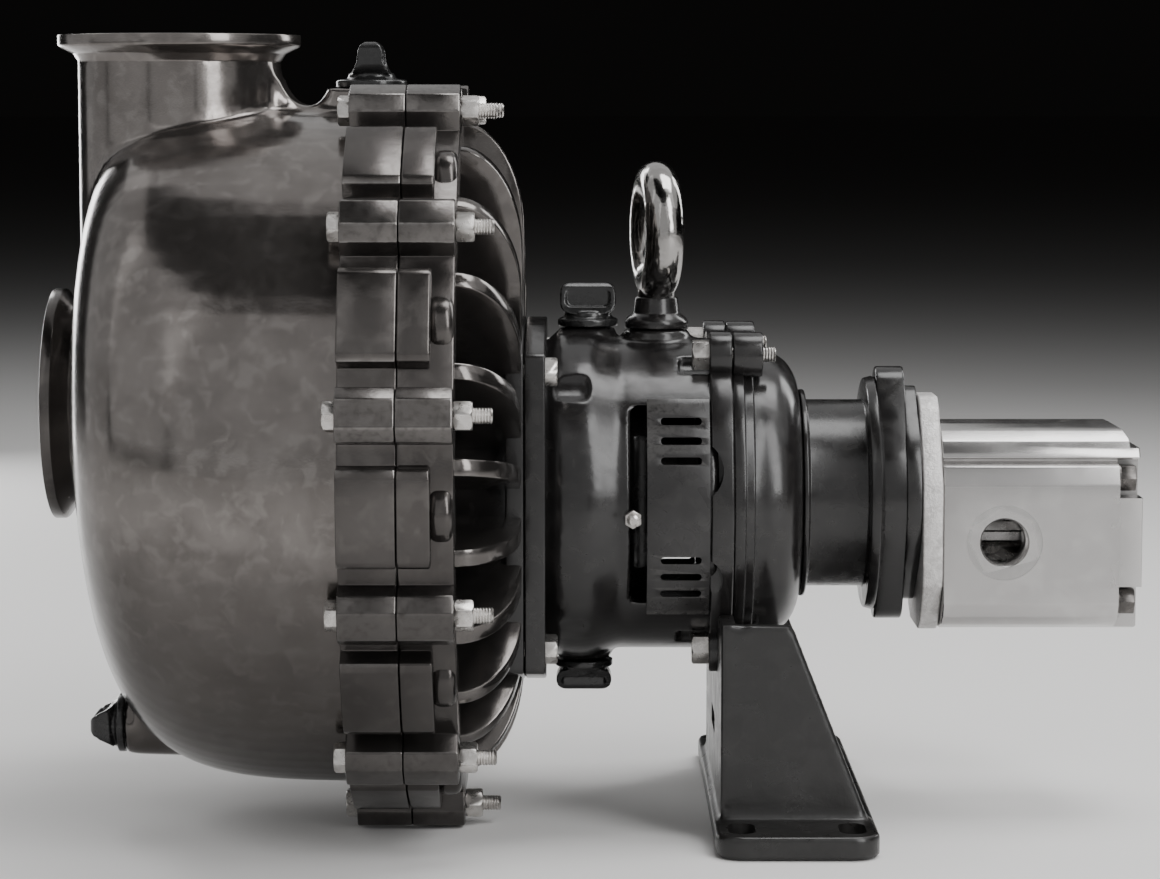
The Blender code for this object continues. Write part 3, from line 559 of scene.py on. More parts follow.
class NodeBench:
    """Node tree of one material, with short calls for what the finishes share."""

    def __init__(self, name: str) -> None:
        """Make the material and find the place on the object.

        Args:
            name: Name of the material.
        """
        self.material = bpy.data.materials.new(name)
        self.material.use_nodes = True
        self.tree = self.material.node_tree
        self.shader = self.tree.nodes["Principled BSDF"]
        self.spot = self.tree.nodes.new("ShaderNodeTexCoord").outputs["Object"]
        self.geometry = self.tree.nodes.new("ShaderNodeNewGeometry")

    def link(self, source: Socket, target: Socket) -> None:
        """Join two sockets."""
        self.tree.links.new(source, target)

    def feed(self, target: Socket, source: Socket | float | tuple[float, ...]) -> None:
        """Set a socket to a plain value, or link it where a socket is given.

        Args:
            target: Socket to set.
            source: Value or socket.
        """
        if isinstance(source, bpy.types.NodeSocket):
            self.link(source, target)
        else:
            target.default_value = source

    def made(self, kind: str, values: dict[str, Socket | float | tuple[float, ...]]) -> bpy.types.Node:
        """Make a node and feed its sockets.

        Args:
            kind: Type of the node.
            values: What each named socket is given.

        Returns:
            The node.
        """
        node = self.tree.nodes.new(kind)
        for label, value in values.items():
            self.feed(node.inputs[label], value)
        return node

    def stretched(self, scale: tuple[float, float, float]) -> Socket:
        """Place on the object, stretched along its axes."""
        return self.made("ShaderNodeMapping", {"Vector": self.spot, "Scale": scale}).outputs["Vector"]

    def height(self) -> Socket:
        """Height on the object, in metres."""
        return self.made("ShaderNodeSeparateXYZ", {"Vector": self.spot}).outputs["Z"]

    def noise(
        self, scale: float, detail: float = 4.0, distortion: float = 0.0, spot: Socket | None = None
    ) -> Socket:
        """Cloudy noise.

        Args:
            scale: Features per metre.
            detail: Octaves.
            distortion: How far the clouds are drawn out.
            spot: Where it is read, or the plain place.

        Returns:
            The factor socket.
        """
        values = {"Vector": spot or self.spot, "Scale": scale, "Detail": detail, "Distortion": distortion}
        return self.made("ShaderNodeTexNoise", values).outputs["Fac"]

    def between(
        self, value: Socket, low: float, high: float, first: float = 0.0, last: float = 1.0
    ) -> Socket:
        """Map a stretch of values on to another one, held at its ends.

        Args:
            value: Socket to map.
            low: Value that gives first.
            high: Value that gives last.
            first: Result at low.
            last: Result at high.

        Returns:
            The mapped socket.
        """
        values = {"Value": value, "From Min": low, "From Max": high, "To Min": first, "To Max": last}
        return self.made("ShaderNodeMapRange", values).outputs["Result"]

    def sum_of(self, operation: str, first: Socket, second: Socket | float) -> Socket:
        """Join two values by a sum of the named kind.

        Args:
            operation: Kind of sum.
            first: First value.
            second: Second value.

        Returns:
            The value socket.
        """
        node = self.made("ShaderNodeMath", {})
        node.operation = operation
        self.feed(node.inputs[0], first)
        self.feed(node.inputs[1], second)
        return node.outputs["Value"]

    def mixed(self, share: Socket, first: Socket | Colour, second: Socket | Colour) -> Socket:
        """Blend two colours.

        Args:
            share: How much of the second.
            first: Colour or socket at 0.
            second: Colour or socket at 1.

        Returns:
            The colour socket.
        """
        node = self.made("ShaderNodeMix", {})
        node.data_type = "RGBA"
        self.link(share, node.inputs[0])
        for index, part in ((6, first), (7, second)):
            self.feed(node.inputs[index], (*part, 1.0) if isinstance(part, tuple) else part)
        return node.outputs[2]

    def bump(self, height: Socket, distance: float, below: Socket | None = None) -> Socket:
        """Raise the surface by a height map.

        Args:
            height: Socket from 0 to 1.
            distance: Height in metres at 1.
            below: Normal of the layer below.

        Returns:
            The normal socket.
        """
        values = {"Distance": distance, "Height": height}
        if below:
            values["Normal"] = below
        return self.made("ShaderNodeBump", values).outputs["Normal"]


@dataclass(frozen=True)
class Finish:
    """Colour, gloss and fine surface of one material."""

    name: str
    slot: str
    colour: Colour
    dark: Colour
    light: Colour
    metallic: float
    roughness: float
    spread: float
    patch: float
    lump: float
    lump_height: float
    grain: float
    grain_height: float
    scratch: float = 0.25
    edge_wear_and_highlight: float = 0.3
    edge_wear_and_highlight_colour: Colour = (0.30, 0.29, 0.28)
    hollow_darkening: float = 0.5
    drawn: tuple[float, float, float] = (1.0, 1.0, 1.0)
    lower_painted_shade: float = 0.0

    def material(self) -> bpy.types.Material:
        """Return the material, made once."""
        found = bpy.data.materials.get(self.name)
        return found or self.mix()

    def dimmed(self, share: float) -> Colour:
        """The dark colour, with only a share of its light left."""
        return tuple(share * part for part in self.dark)

    def mix(self) -> bpy.types.Material:
        """Build the node tree of the finish.

        Returns:
            The new material.
        """
        bench = NodeBench(self.name)
        shader = bench.shader
        clouds = bench.noise(self.patch, 6.0, 0.3)
        blots = bench.between(bench.noise(self.patch * 2.7, 5.0, 0.5), *BLOTS)
        base = bench.mixed(bench.between(clouds, *CLOUDS), self.dark, self.colour)
        base = bench.mixed(bench.sum_of("MULTIPLY", blots, 0.55), base, self.light)
        rubs = bench.noise(1.0, 3.0, 0.3, bench.stretched(RUB_STRETCH))
        rubs = bench.between(rubs, *RUBS, 0.0, self.scratch)
        base = bench.mixed(rubs, base, self.light)
        edge = bench.geometry.outputs["Pointiness"]
        # Convex edges turn a lighter colour: partly wear, partly a painted highlight where the edges would
        # catch the light.
        ragged = bench.between(bench.noise(self.patch * 9.0, 4.0), *RAGGED)
        rim = bench.sum_of("MULTIPLY", bench.between(edge, *RIM, 0.0, self.edge_wear_and_highlight), ragged)
        base = bench.mixed(rim, base, self.edge_wear_and_highlight_colour)
        # Hollows are drawn darker and rougher.
        hollow = bench.between(edge, *HOLLOW, 0.0, self.hollow_darkening)
        base = bench.mixed(hollow, base, self.dimmed(0.45))
        # Painted shade: the base colour grows darker towards the bottom, from the first height down to the
        # second, to dim the floor's light on the lower castings.
        low = bench.sum_of("ADD", bench.height(), bench.sum_of("MULTIPLY", clouds, 0.03))
        lower_shade_share = bench.between(low, PAINTED_SHADE_TOP, PAINTED_SHADE_FULL, 0.0, self.lower_painted_shade)
        base = bench.mixed(lower_shade_share, base, self.dimmed(0.4))
        bench.link(base, shader.inputs["Base Color"])

        mottle = bench.noise(self.patch * 1.7, 5.0, 1.2)
        gloss = bench.between(mottle, *MOTTLE, self.roughness - self.spread, self.roughness + self.spread)
        gloss = bench.sum_of("ADD", gloss, bench.sum_of("MULTIPLY", hollow, 0.35))
        bench.link(gloss, shader.inputs["Roughness"])

        lumps = bench.noise(self.lump, 3.0, 0.4)
        normal = bench.bump(lumps, self.lump_height)
        pits = bench.noise(self.grain, 3.0, 0.0, bench.stretched(self.drawn))
        normal = bench.bump(pits, self.grain_height, normal)
        bench.link(normal, shader.inputs["Normal"])
        shader.inputs["Metallic"].default_value = self.metallic
        return bench.material


CASING = Finish(
    "casing_cast", "casing_iron", (0.195, 0.180, 0.171), (0.152, 0.139, 0.131), (0.252, 0.235, 0.224),
    metallic=0.90, roughness=0.17, spread=0.03, patch=42.0, lump=40.0, lump_height=0.00010,
    grain=900.0, grain_height=0.00002, scratch=0.22, edge_wear_and_highlight=0.90, edge_wear_and_highlight_colour=(0.62, 0.60, 0.58), hollow_darkening=0.4,
    lower_painted_shade=0.62,
)
ADAPTER = Finish(
    "adapter_cast", "adapter_iron", (0.096, 0.089, 0.085), (0.074, 0.068, 0.065), (0.128, 0.119, 0.113),
    metallic=0.85, roughness=0.22, spread=0.04, patch=36.0, lump=60.0, lump_height=0.00016,
    grain=900.0, grain_height=0.00003, scratch=0.25, edge_wear_and_highlight=1.0, edge_wear_and_highlight_colour=(0.62, 0.60, 0.58), hollow_darkening=0.4,
    lower_painted_shade=0.5,
)
# The adapter's iron again, drawn lighter and glossier on the ribs with a light edge colour: painted light
# that makes the rib edges stand out bright.
RIB_LIT_IRON = Finish(
    "rib_cast_painted_light", "adapter_iron", (0.120, 0.111, 0.106), (0.096, 0.089, 0.085), (0.145, 0.135, 0.129),
    metallic=0.90, roughness=0.17, spread=0.04, patch=50.0, lump=60.0, lump_height=0.00012,
    grain=900.0, grain_height=0.00002, scratch=0.10, edge_wear_and_highlight=1.0, edge_wear_and_highlight_colour=(0.55, 0.53, 0.51), hollow_darkening=0.9,
)
FRAME = Finish(
    "frame_gloss", "frame_paint", (0.013, 0.012, 0.012), (0.009, 0.0085, 0.0085), (0.020, 0.019, 0.018),
    metallic=0.0, roughness=0.22, spread=0.05, patch=50.0, lump=60.0, lump_height=0.00012,
    grain=700.0, grain_height=0.00002, scratch=0.12, edge_wear_and_highlight=0.15, edge_wear_and_highlight_colour=(0.08, 0.076, 0.072),
)
GUARD = Finish(
    "guard_satin", "guard_paint", (0.018, 0.017, 0.017), (0.013, 0.012, 0.012), (0.028, 0.027, 0.026),
    metallic=0.0, roughness=0.30, spread=0.06, patch=60.0, lump=120.0, lump_height=0.00012,
    grain=900.0, grain_height=0.00003, edge_wear_and_highlight=0.25, edge_wear_and_highlight_colour=(0.14, 0.135, 0.13),
)
FOOT = Finish(
    "foot_satin", "foot_paint", (0.012, 0.0115, 0.011), (0.009, 0.0086, 0.0083), (0.019, 0.018, 0.0175),
    metallic=0.0, roughness=0.32, spread=0.06, patch=36.0, lump=70.0, lump_height=0.0003,
    grain=700.0, grain_height=0.00006, edge_wear_and_highlight=0.22, edge_wear_and_highlight_colour=(0.11, 0.105, 0.10),
)
ZINC = Finish(
    "zinc_plate", "zinc_steel", (0.56, 0.54, 0.52), (0.44, 0.42, 0.40), (0.66, 0.64, 0.62),
    metallic=0.92, roughness=0.30, spread=0.05, patch=140.0, lump=300.0, lump_height=0.00008,
    grain=1800.0, grain_height=0.00002, edge_wear_and_highlight=0.15, edge_wear_and_highlight_colour=(0.70, 0.69, 0.67), hollow_darkening=0.7,
)
MOTOR = Finish(
    "motor_machined", "motor_alloy", (0.47, 0.460, 0.454), (0.43, 0.421, 0.415), (0.52, 0.510, 0.503),
    metallic=0.94, roughness=0.24, spread=0.03, patch=20.0, lump=40.0, lump_height=0.00008,
    grain=1300.0, grain_height=0.00001, scratch=0.12, edge_wear_and_highlight=0.2, edge_wear_and_highlight_colour=(0.85, 0.84, 0.83),
    drawn=(0.06, 1.0, 1.0), hollow_darkening=0.35,
)
COVER = Finish(
    "cover_as_cast", "cover_alloy", (0.62, 0.605, 0.595), (0.50, 0.487, 0.478), (0.72, 0.705, 0.695),
    metallic=0.70, roughness=0.52, spread=0.06, patch=160.0, lump=520.0, lump_height=0.0004,
    grain=1500.0, grain_height=0.00018, edge_wear_and_highlight=0.2, edge_wear_and_highlight_colour=(0.78, 0.77, 0.76),
)
PLUG = Finish(
    "plug_moulded", "plug_plastic", (0.016, 0.016, 0.016), (0.013, 0.013, 0.013), (0.022, 0.022, 0.022),
    metallic=0.0, roughness=0.20, spread=0.04, patch=120.0, lump=160.0, lump_height=0.00008,
    grain=1500.0, grain_height=0.00001, edge_wear_and_highlight=0.08, edge_wear_and_highlight_colour=(0.06, 0.06, 0.06),
)
EYE = Finish(
    "eye_forged", "eye_steel", (0.36, 0.35, 0.34), (0.30, 0.29, 0.28), (0.44, 0.43, 0.42),
    metallic=1.0, roughness=0.14, spread=0.03, patch=40.0, lump=70.0, lump_height=0.0005,
    grain=1300.0, grain_height=0.00001, edge_wear_and_highlight=0.25, edge_wear_and_highlight_colour=(0.68, 0.66, 0.64), hollow_darkening=0.7,
)
SHAFT = Finish(
    "shaft_ground", "shaft_steel", (0.42, 0.41, 0.40), (0.32, 0.31, 0.305), (0.52, 0.51, 0.50),
    metallic=1.0, roughness=0.26, spread=0.05, patch=90.0, lump=200.0, lump_height=0.00005,
    grain=1800.0, grain_height=0.00002, drawn=(1.0, 0.05, 0.05),
)
SCREW = Finish(
    "screw_dark", "motor_alloy", (0.105, 0.098, 0.093), (0.070, 0.066, 0.063), (0.150, 0.142, 0.136),
    metallic=0.9, roughness=0.30, spread=0.05, patch=120.0, lump=260.0, lump_height=0.00005,
    grain=1500.0, grain_height=0.00002,
)
IMPELLER = Finish(
    "impeller_cast", "impeller_iron", (0.065, 0.060, 0.055), (0.042, 0.038, 0.035), (0.10, 0.092, 0.085),
    metallic=0.3, roughness=0.60, spread=0.10, patch=60.0, lump=180.0, lump_height=0.0008,
    grain=900.0, grain_height=0.0002,
)
COUPLING = Finish(
    "coupling_turned", "coupling_iron", (0.055, 0.052, 0.050), (0.038, 0.036, 0.034), (0.085, 0.081, 0.078),
    metallic=0.5, roughness=0.42, spread=0.08, patch=90.0, lump=240.0, lump_height=0.0002,
    grain=1200.0, grain_height=0.00005,
)


def show(solid: Solid, name: str, finish: Finish, nodes: Iterable[str], crease: float = 30.0) -> None:
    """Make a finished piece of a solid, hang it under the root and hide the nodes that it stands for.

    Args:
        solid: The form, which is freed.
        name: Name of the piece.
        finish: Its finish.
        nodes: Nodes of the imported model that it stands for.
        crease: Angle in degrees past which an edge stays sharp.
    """
    mesh = solid.as_mesh(name)
    piece = bpy.data.objects.new(name, mesh)
    bpy.context.scene.collection.objects.link(piece)
    mesh.shade_smooth()
    mesh.set_sharp_from_angle(angle=math.radians(crease))
    mesh.materials.append(finish.material())
    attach(piece, "root")
    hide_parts(*nodes)
    faces = sum(len(face.vertices) - 2 for face in mesh.polygons)
    LOG.info("%s: %d triangles, finish %s", name, faces, finish.name)


@dataclass
class BoltedJoint:
    """Lobes, pads and bolts of the joint between the casing and its adapter."""

    bolt_r: float = 0.1820
    lowest: float = -79.9
    step: float = 30.0
    near_count: int = 6
    lobe_r: float = 0.1935
    lobe_half: float = 4.1
    pad_r: float = 0.1868
    pad_half: float = 7.6
    top_half: float = 12.5
    bare_half: float = 13.0
    recess_r: float = 0.1765

    def angles(self) -> list[float]:
        """Angles of the bolts: six near ones and five of them mirrored."""
        near = [math.radians(self.lowest + i * self.step) for i in range(self.near_count)]
        return near + [math.pi - angle for angle in reversed(near[1:])]

    def pad_angles(self) -> list[float]:
        """Angles of the pads between the bolts, without the one on top."""
        half = math.radians(0.5 * self.step)
        return [angle + half for i, angle in enumerate(self.angles()[:-1]) if i != self.near_count - 1]

    def centres(self) -> list[Pair]:
        """Centres of the bolts across the shaft."""
        return ring_of(ON_CASING, self.bolt_r, self.angles())

    def outline(self, pad_r: float, lobe_r: float, shrink: float = 0.0) -> list[Pair]:
        """Outline of a flange: lobes at the bolts, pads between them and a flat pad on top.

        Args:
            pad_r: Radius of the pads.
            lobe_r: Radius of the lobes.
            shrink: How far the whole outline stands in.

        Returns:
            Points across the shaft.
        """
        points = []
        angles = self.angles()
        for index, bolt in enumerate(angles):
            bumps = [(bolt, lobe_r, self.lobe_half, LOBE_SHAPE)]
            if index == self.near_count - 1:
                bumps.append((0.5 * math.pi, 0.0, self.top_half, PAD_SHAPE))
            elif index < len(angles) - 1:
                bumps.append((bolt + math.radians(0.5 * self.step), pad_r, self.pad_half, PAD_SHAPE))
            else:
                middle = 0.5 * (bolt + angles[0]) + math.pi
                bumps.append((middle, self.recess_r, self.bare_half, BARE_SHAPE))
            for middle, radius, half, shape in bumps:
                for share, drop in [(-s, d) for s, d in shape] + list(reversed(shape)):
                    angle = middle + math.radians(half) * share
                    top = radius or (TOP_PAD_Z - CASING_Z) / math.sin(angle)
                    reach = top - (top - self.recess_r) * drop - shrink
                    points.append((-reach * math.cos(angle), CASING_Z + reach * math.sin(angle)))
        return points

    def ring(self, start: float, end: float, outline: list[Pair], bore: float, edge: float) -> Solid:
        """Flange ring with soft edges and a round opening about the casing's axis.

        Args:
            start: First face along X.
            end: Second face along X.
            outline: Outer shape.
            bore: Radius of the opening.
            edge: Width of the soft edges.

        Returns:
            The ring.
        """
        ring = Solid.slab(Axis.X, start, end, outline).soften(edge, 2, 20.0)
        return ring.carve(Solid.bar(Axis.X, ON_CASING, bore, start - 0.01, end + 0.01, 128))


@dataclass(frozen=True)
class ClampPort:
    """Pipe end with a thin clamp rim and a tapered back."""

    face: float
    inward: float
    rim_r: float
    pipe_r: float
    bore_r: float = 0.0410
    rim_thick: float = 0.0062
    taper: float = 0.0070

    def rim(self, axis: Axis, centre: Pair) -> Solid:
        """Turned rim, from its groove round the bore to the pipe behind the taper.

        Args:
            axis: Direction of the pipe.
            centre: Place of the pipe across the axis.

        Returns:
            The rim.
        """
        face, inward = self.face, self.inward
        line = [
            (face + inward * 0.0160, self.bore_r),
            (face + inward * 0.0160, self.pipe_r - 0.0004),
            (face + inward * (self.rim_thick + self.taper), self.pipe_r),
            (face + inward * (self.rim_thick + self.taper * 0.45), self.pipe_r + 0.0026),
            (face + inward * self.rim_thick, self.rim_r - 0.0010),
            (face + inward * (self.rim_thick - 0.0010), self.rim_r),
            (face, self.rim_r),
            (face, self.bore_r + 0.0062),
            (face + inward * 0.0016, self.bore_r + 0.0056),
            (face + inward * 0.0016, self.bore_r + 0.0036),
            (face, self.bore_r + 0.0030),
            (face, self.bore_r),
        ]
        return Solid.spun(axis, centre, line, 128).soften(0.0005, 2, 25.0)


DISCHARGE = ClampPort(face=0.3951, inward=-1.0, rim_r=0.0613, pipe_r=0.0512)
SUCTION = ClampPort(face=-0.3730, inward=1.0, rim_r=0.0588, pipe_r=0.0500)


@dataclass
class VoluteCasing:
    """Bowl-shaped casing with its two ports and plug bosses."""

    joint: BoltedJoint = field(default_factory=BoltedJoint)
    rim_x: float = -0.1650
    depth: float = 0.1907
    radius: float = 0.1711
    power_along: float = 6.64
    power_across: float = 3.47
    lift: float = 0.0451
    lift_power: float = 0.645
    wall: float = 0.0080
    discharge_x: float = -0.3080
    boss_half: float = 0.0188
    grain: float = 0.00215
    discharge: ClampPort = DISCHARGE
    suction: ClampPort = SUCTION

    def bowl(self, inset: float, last_x: float, steps: int) -> Solid:
        """Dome of circles whose centres rise towards its end.

        Args:
            inset: How far it stands inside the outer skin.
            last_x: Where it ends at its open side.
            steps: Number of circles.

        Returns:
            The dome, closed at both ends.
        """
        radius = self.radius - inset
        rings = [(last_x, ON_CASING, radius)]
        for i in range(1, steps + 1):
            t = 0.497 * math.pi * (i / steps) ** 1.3
            x = self.rim_x - (self.depth - inset) * math.sin(t) ** (2.0 / self.power_along)
            r = radius * math.cos(t) ** (2.0 / self.power_across)
            rise = self.lift * (1.0 - r / radius) ** self.lift_power
            if x < last_x - 0.004:
                rings.append((x, (0.0, CASING_Z + rise), r))
        return Solid.lofted(Axis.X, rings)

    def saddle(self) -> Solid:
        """Boss of the priming plug with the notch that parts it from the pipe.

        Returns:
            The boss.
        """
        outline = [(-0.2640, 0.3300), (-0.2640, 0.3800), (-0.2560, 0.3730), (-0.2525, 0.3660)]
        outline += [(-0.2480, 0.3610), (-0.2430, 0.3594), (-0.2385, 0.3600), (-0.2350, 0.3625)]
        outline += [(-0.2330, 0.3655), (-0.2321, TOP_PAD_Z - 0.0001), (-0.1935, TOP_PAD_Z - 0.0001)]
        outline += [(-0.1935, 0.3300)]
        return Solid.slab(Axis.Y, -self.boss_half, self.boss_half, outline)

    def body(self) -> Solid:
        """Cast skin of the bowl, the pipe, the neck and the bosses, hollow inside.

        Returns:
            The body of the casing.
        """
        drain = [(DRAIN_X, 0.0), (DRAIN_X, 0.0155), (DRAIN_X + 0.007, 0.0165)]
        drain += [(-0.2900, 0.0175), (-0.2900, 0.0)]
        top = self.discharge.face - 0.0080
        upright, level = (self.discharge_x, 0.0), (0.0, SUCTION_Z)
        skin = self.bowl(0.0, SPLIT_X - 0.004, 60).join(
            Solid.bar(Axis.Z, upright, self.discharge.pipe_r, 0.250, top, 96),
            Solid.bar(Axis.X, level, self.suction.pipe_r, self.suction.face + 0.0080, -0.320, 96),
            Solid.spun(Axis.X, DRAIN, drain, 48),
            self.saddle(),
        )
        skin.cast(self.grain, 3).fillet(2, 10)
        return skin.carve(
            self.bowl(self.wall, SPLIT_X + 0.010, 30),
            Solid.bar(Axis.X, level, self.suction.bore_r, self.suction.face - 0.02, -0.300, 72),
            Solid.bar(Axis.Z, upright, self.discharge.bore_r, 0.240, self.discharge.face + 0.02, 72),
            solver=Solver.MANIFOLD,
        )

    def dress(self) -> None:
        """Show the casing's pieces."""
        nodes = ("volute_casing",)
        show(self.body(), "casing_body", CASING, nodes, 50.0)
        outline = self.joint.outline(self.joint.pad_r, self.joint.lobe_r)
        flange = self.joint.ring(FLANGE_X, SPLIT_X, outline, self.radius - self.wall, 0.0009)
        # The flange is cast with the bowl but drawn in the darker adapter iron: painted shade on its faces.
        show(flange, "casing_flange", ADAPTER, nodes)
        show(self.discharge.rim(Axis.Z, (self.discharge_x, 0.0)), "discharge_rim", CASING, nodes)
        show(self.suction.rim(Axis.X, (0.0, SUCTION_Z)), "suction_rim", ADAPTER, nodes)


def frame_plate(start: float, end: float) -> Solid:
    """Plate with slanted corners, which the adapter and the frame share.

    Args:
        start: First face along X.
        end: Second face along X.

    Returns:
        The plate with soft edges.
    """
    quarter = ((PLATE_HALF_Y, PLATE_SLANT[1]), (PLATE_SLANT[0], PLATE_HALF_Z))
    upper = mirrored(quarter)
    outline = [(y, PLATE_Z + z) for y, z in upper] + [(-y, PLATE_Z - z) for y, z in upper]
    return Solid.slab(Axis.X, start, end, outline).ease_along(Axis.X, 0.0034).soften(0.0009, 3)


@dataclass
class RearAdapter:
    """Back plate of the casing with ribs that run in to the frame."""

    joint: BoltedJoint = field(default_factory=BoltedJoint)
    ribs: int = 24
    first_rib: float = -4.5
    rib_half: float = 0.0042
    rib_outer_r: float = 0.1655
    rib_turn_r: float = 0.1120
    well_r: float = 0.1540
    boss_r: float = 0.0146
    boss_radius: float = 0.1680
    seat: float = 0.0090

    def rib(self, angle: float) -> Solid:
        """One rib: a plate in a plane through the shaft's axis, with rounded edges.

        Args:
            angle: Where it stands round the shaft, in radians.

        Returns:
            The rib.
        """
        along = Vector((0.0, -math.cos(angle), math.sin(angle)))
        across = Vector((0.0, math.sin(angle), math.cos(angle)))
        offset = CASING_Z - SHAFT_Z
        lean = along.z * offset
        outer = lean + math.sqrt(self.rib_outer_r**2 - offset**2 + lean * lean)
        turn = lean + math.sqrt(self.rib_turn_r**2 - offset**2 + lean * lean)
        base = PAD_X - 0.0020
        foot = BACK_X - 0.0012
        line = [(0.0500, base), (0.0500, HUB_X - 0.001)]
        for i in range(13):
            t = 0.5 * math.pi * i / 12
            line.append((turn + (outer - turn) * math.sin(t), foot + (HUB_X - 0.001 - foot) * math.cos(t)))
        line.append((outer, base))
        corner = Vector((0.0, 0.0, SHAFT_Z)) - across * self.rib_half
        points = [corner + along * rho + Vector((x, 0.0, 0.0)) for rho, x in line]
        return Solid.pushed(points, across * (2.0 * self.rib_half)).soften(0.0012, 2, 35.0)

    def hub(self) -> Solid:
        """Round hub that the frame's flange is screwed to, with the shaft's bore.

        Returns:
            The hub with its seat.
        """
        line = [(PAD_X - 0.0030, ADAPTER_BORE_R), (PAD_X - 0.0030, 0.0700), (BACK_X - 0.0030, 0.0780)]
        line += [(HUB_X - 0.0050, 0.0840), (HUB_X - 0.0050, ADAPTER_BORE_R)]
        seat = frame_plate(HUB_X - self.seat, HUB_X)
        seat.carve(Solid.bar(Axis.X, ON_SHAFT, ADAPTER_BORE_R, -0.16, -0.12, 48))
        return Solid.spun(Axis.X, ON_SHAFT, line, 96).soften(0.0012, 3).join(seat)

    def dress(self) -> None:
        """Show the adapter's pieces."""
        nodes = ("rear_adapter",)
        outline = self.joint.outline(self.joint.pad_r, self.joint.recess_r, 0.0002)
        plate = Solid.slab(Axis.X, SPLIT_X + GAP, PAD_X, outline).soften(0.0012, 3, 20.0)
        plate.carve(Solid.bar(Axis.X, ON_SHAFT, ADAPTER_BORE_R, -0.22, -0.15, 48))
        show(plate, "adapter_plate", ADAPTER, nodes)
        back = self.joint.outline(self.joint.recess_r, self.joint.lobe_r)
        lobes = self.joint.ring(SPLIT_X + GAP, BACK_X, back, self.well_r, 0.0009)
        for place in ring_of(ON_CASING, self.boss_radius, self.joint.pad_angles()):
            boss = Solid.bar(Axis.X, place, self.boss_r, PAD_X - 0.001, BACK_X - 0.0002, 56)
            lobes.join(boss.soften(0.0040, 4))
        show(lobes, "adapter_lobes", ADAPTER, nodes)
        ribs = Solid()
        for i in range(self.ribs):
            ribs.join(self.rib(math.radians(self.first_rib) + i * 2.0 * math.pi / self.ribs))
        show(ribs, "adapter_ribs", RIB_LIT_IRON, nodes)
        show(self.hub(), "adapter_hub", FRAME, nodes)


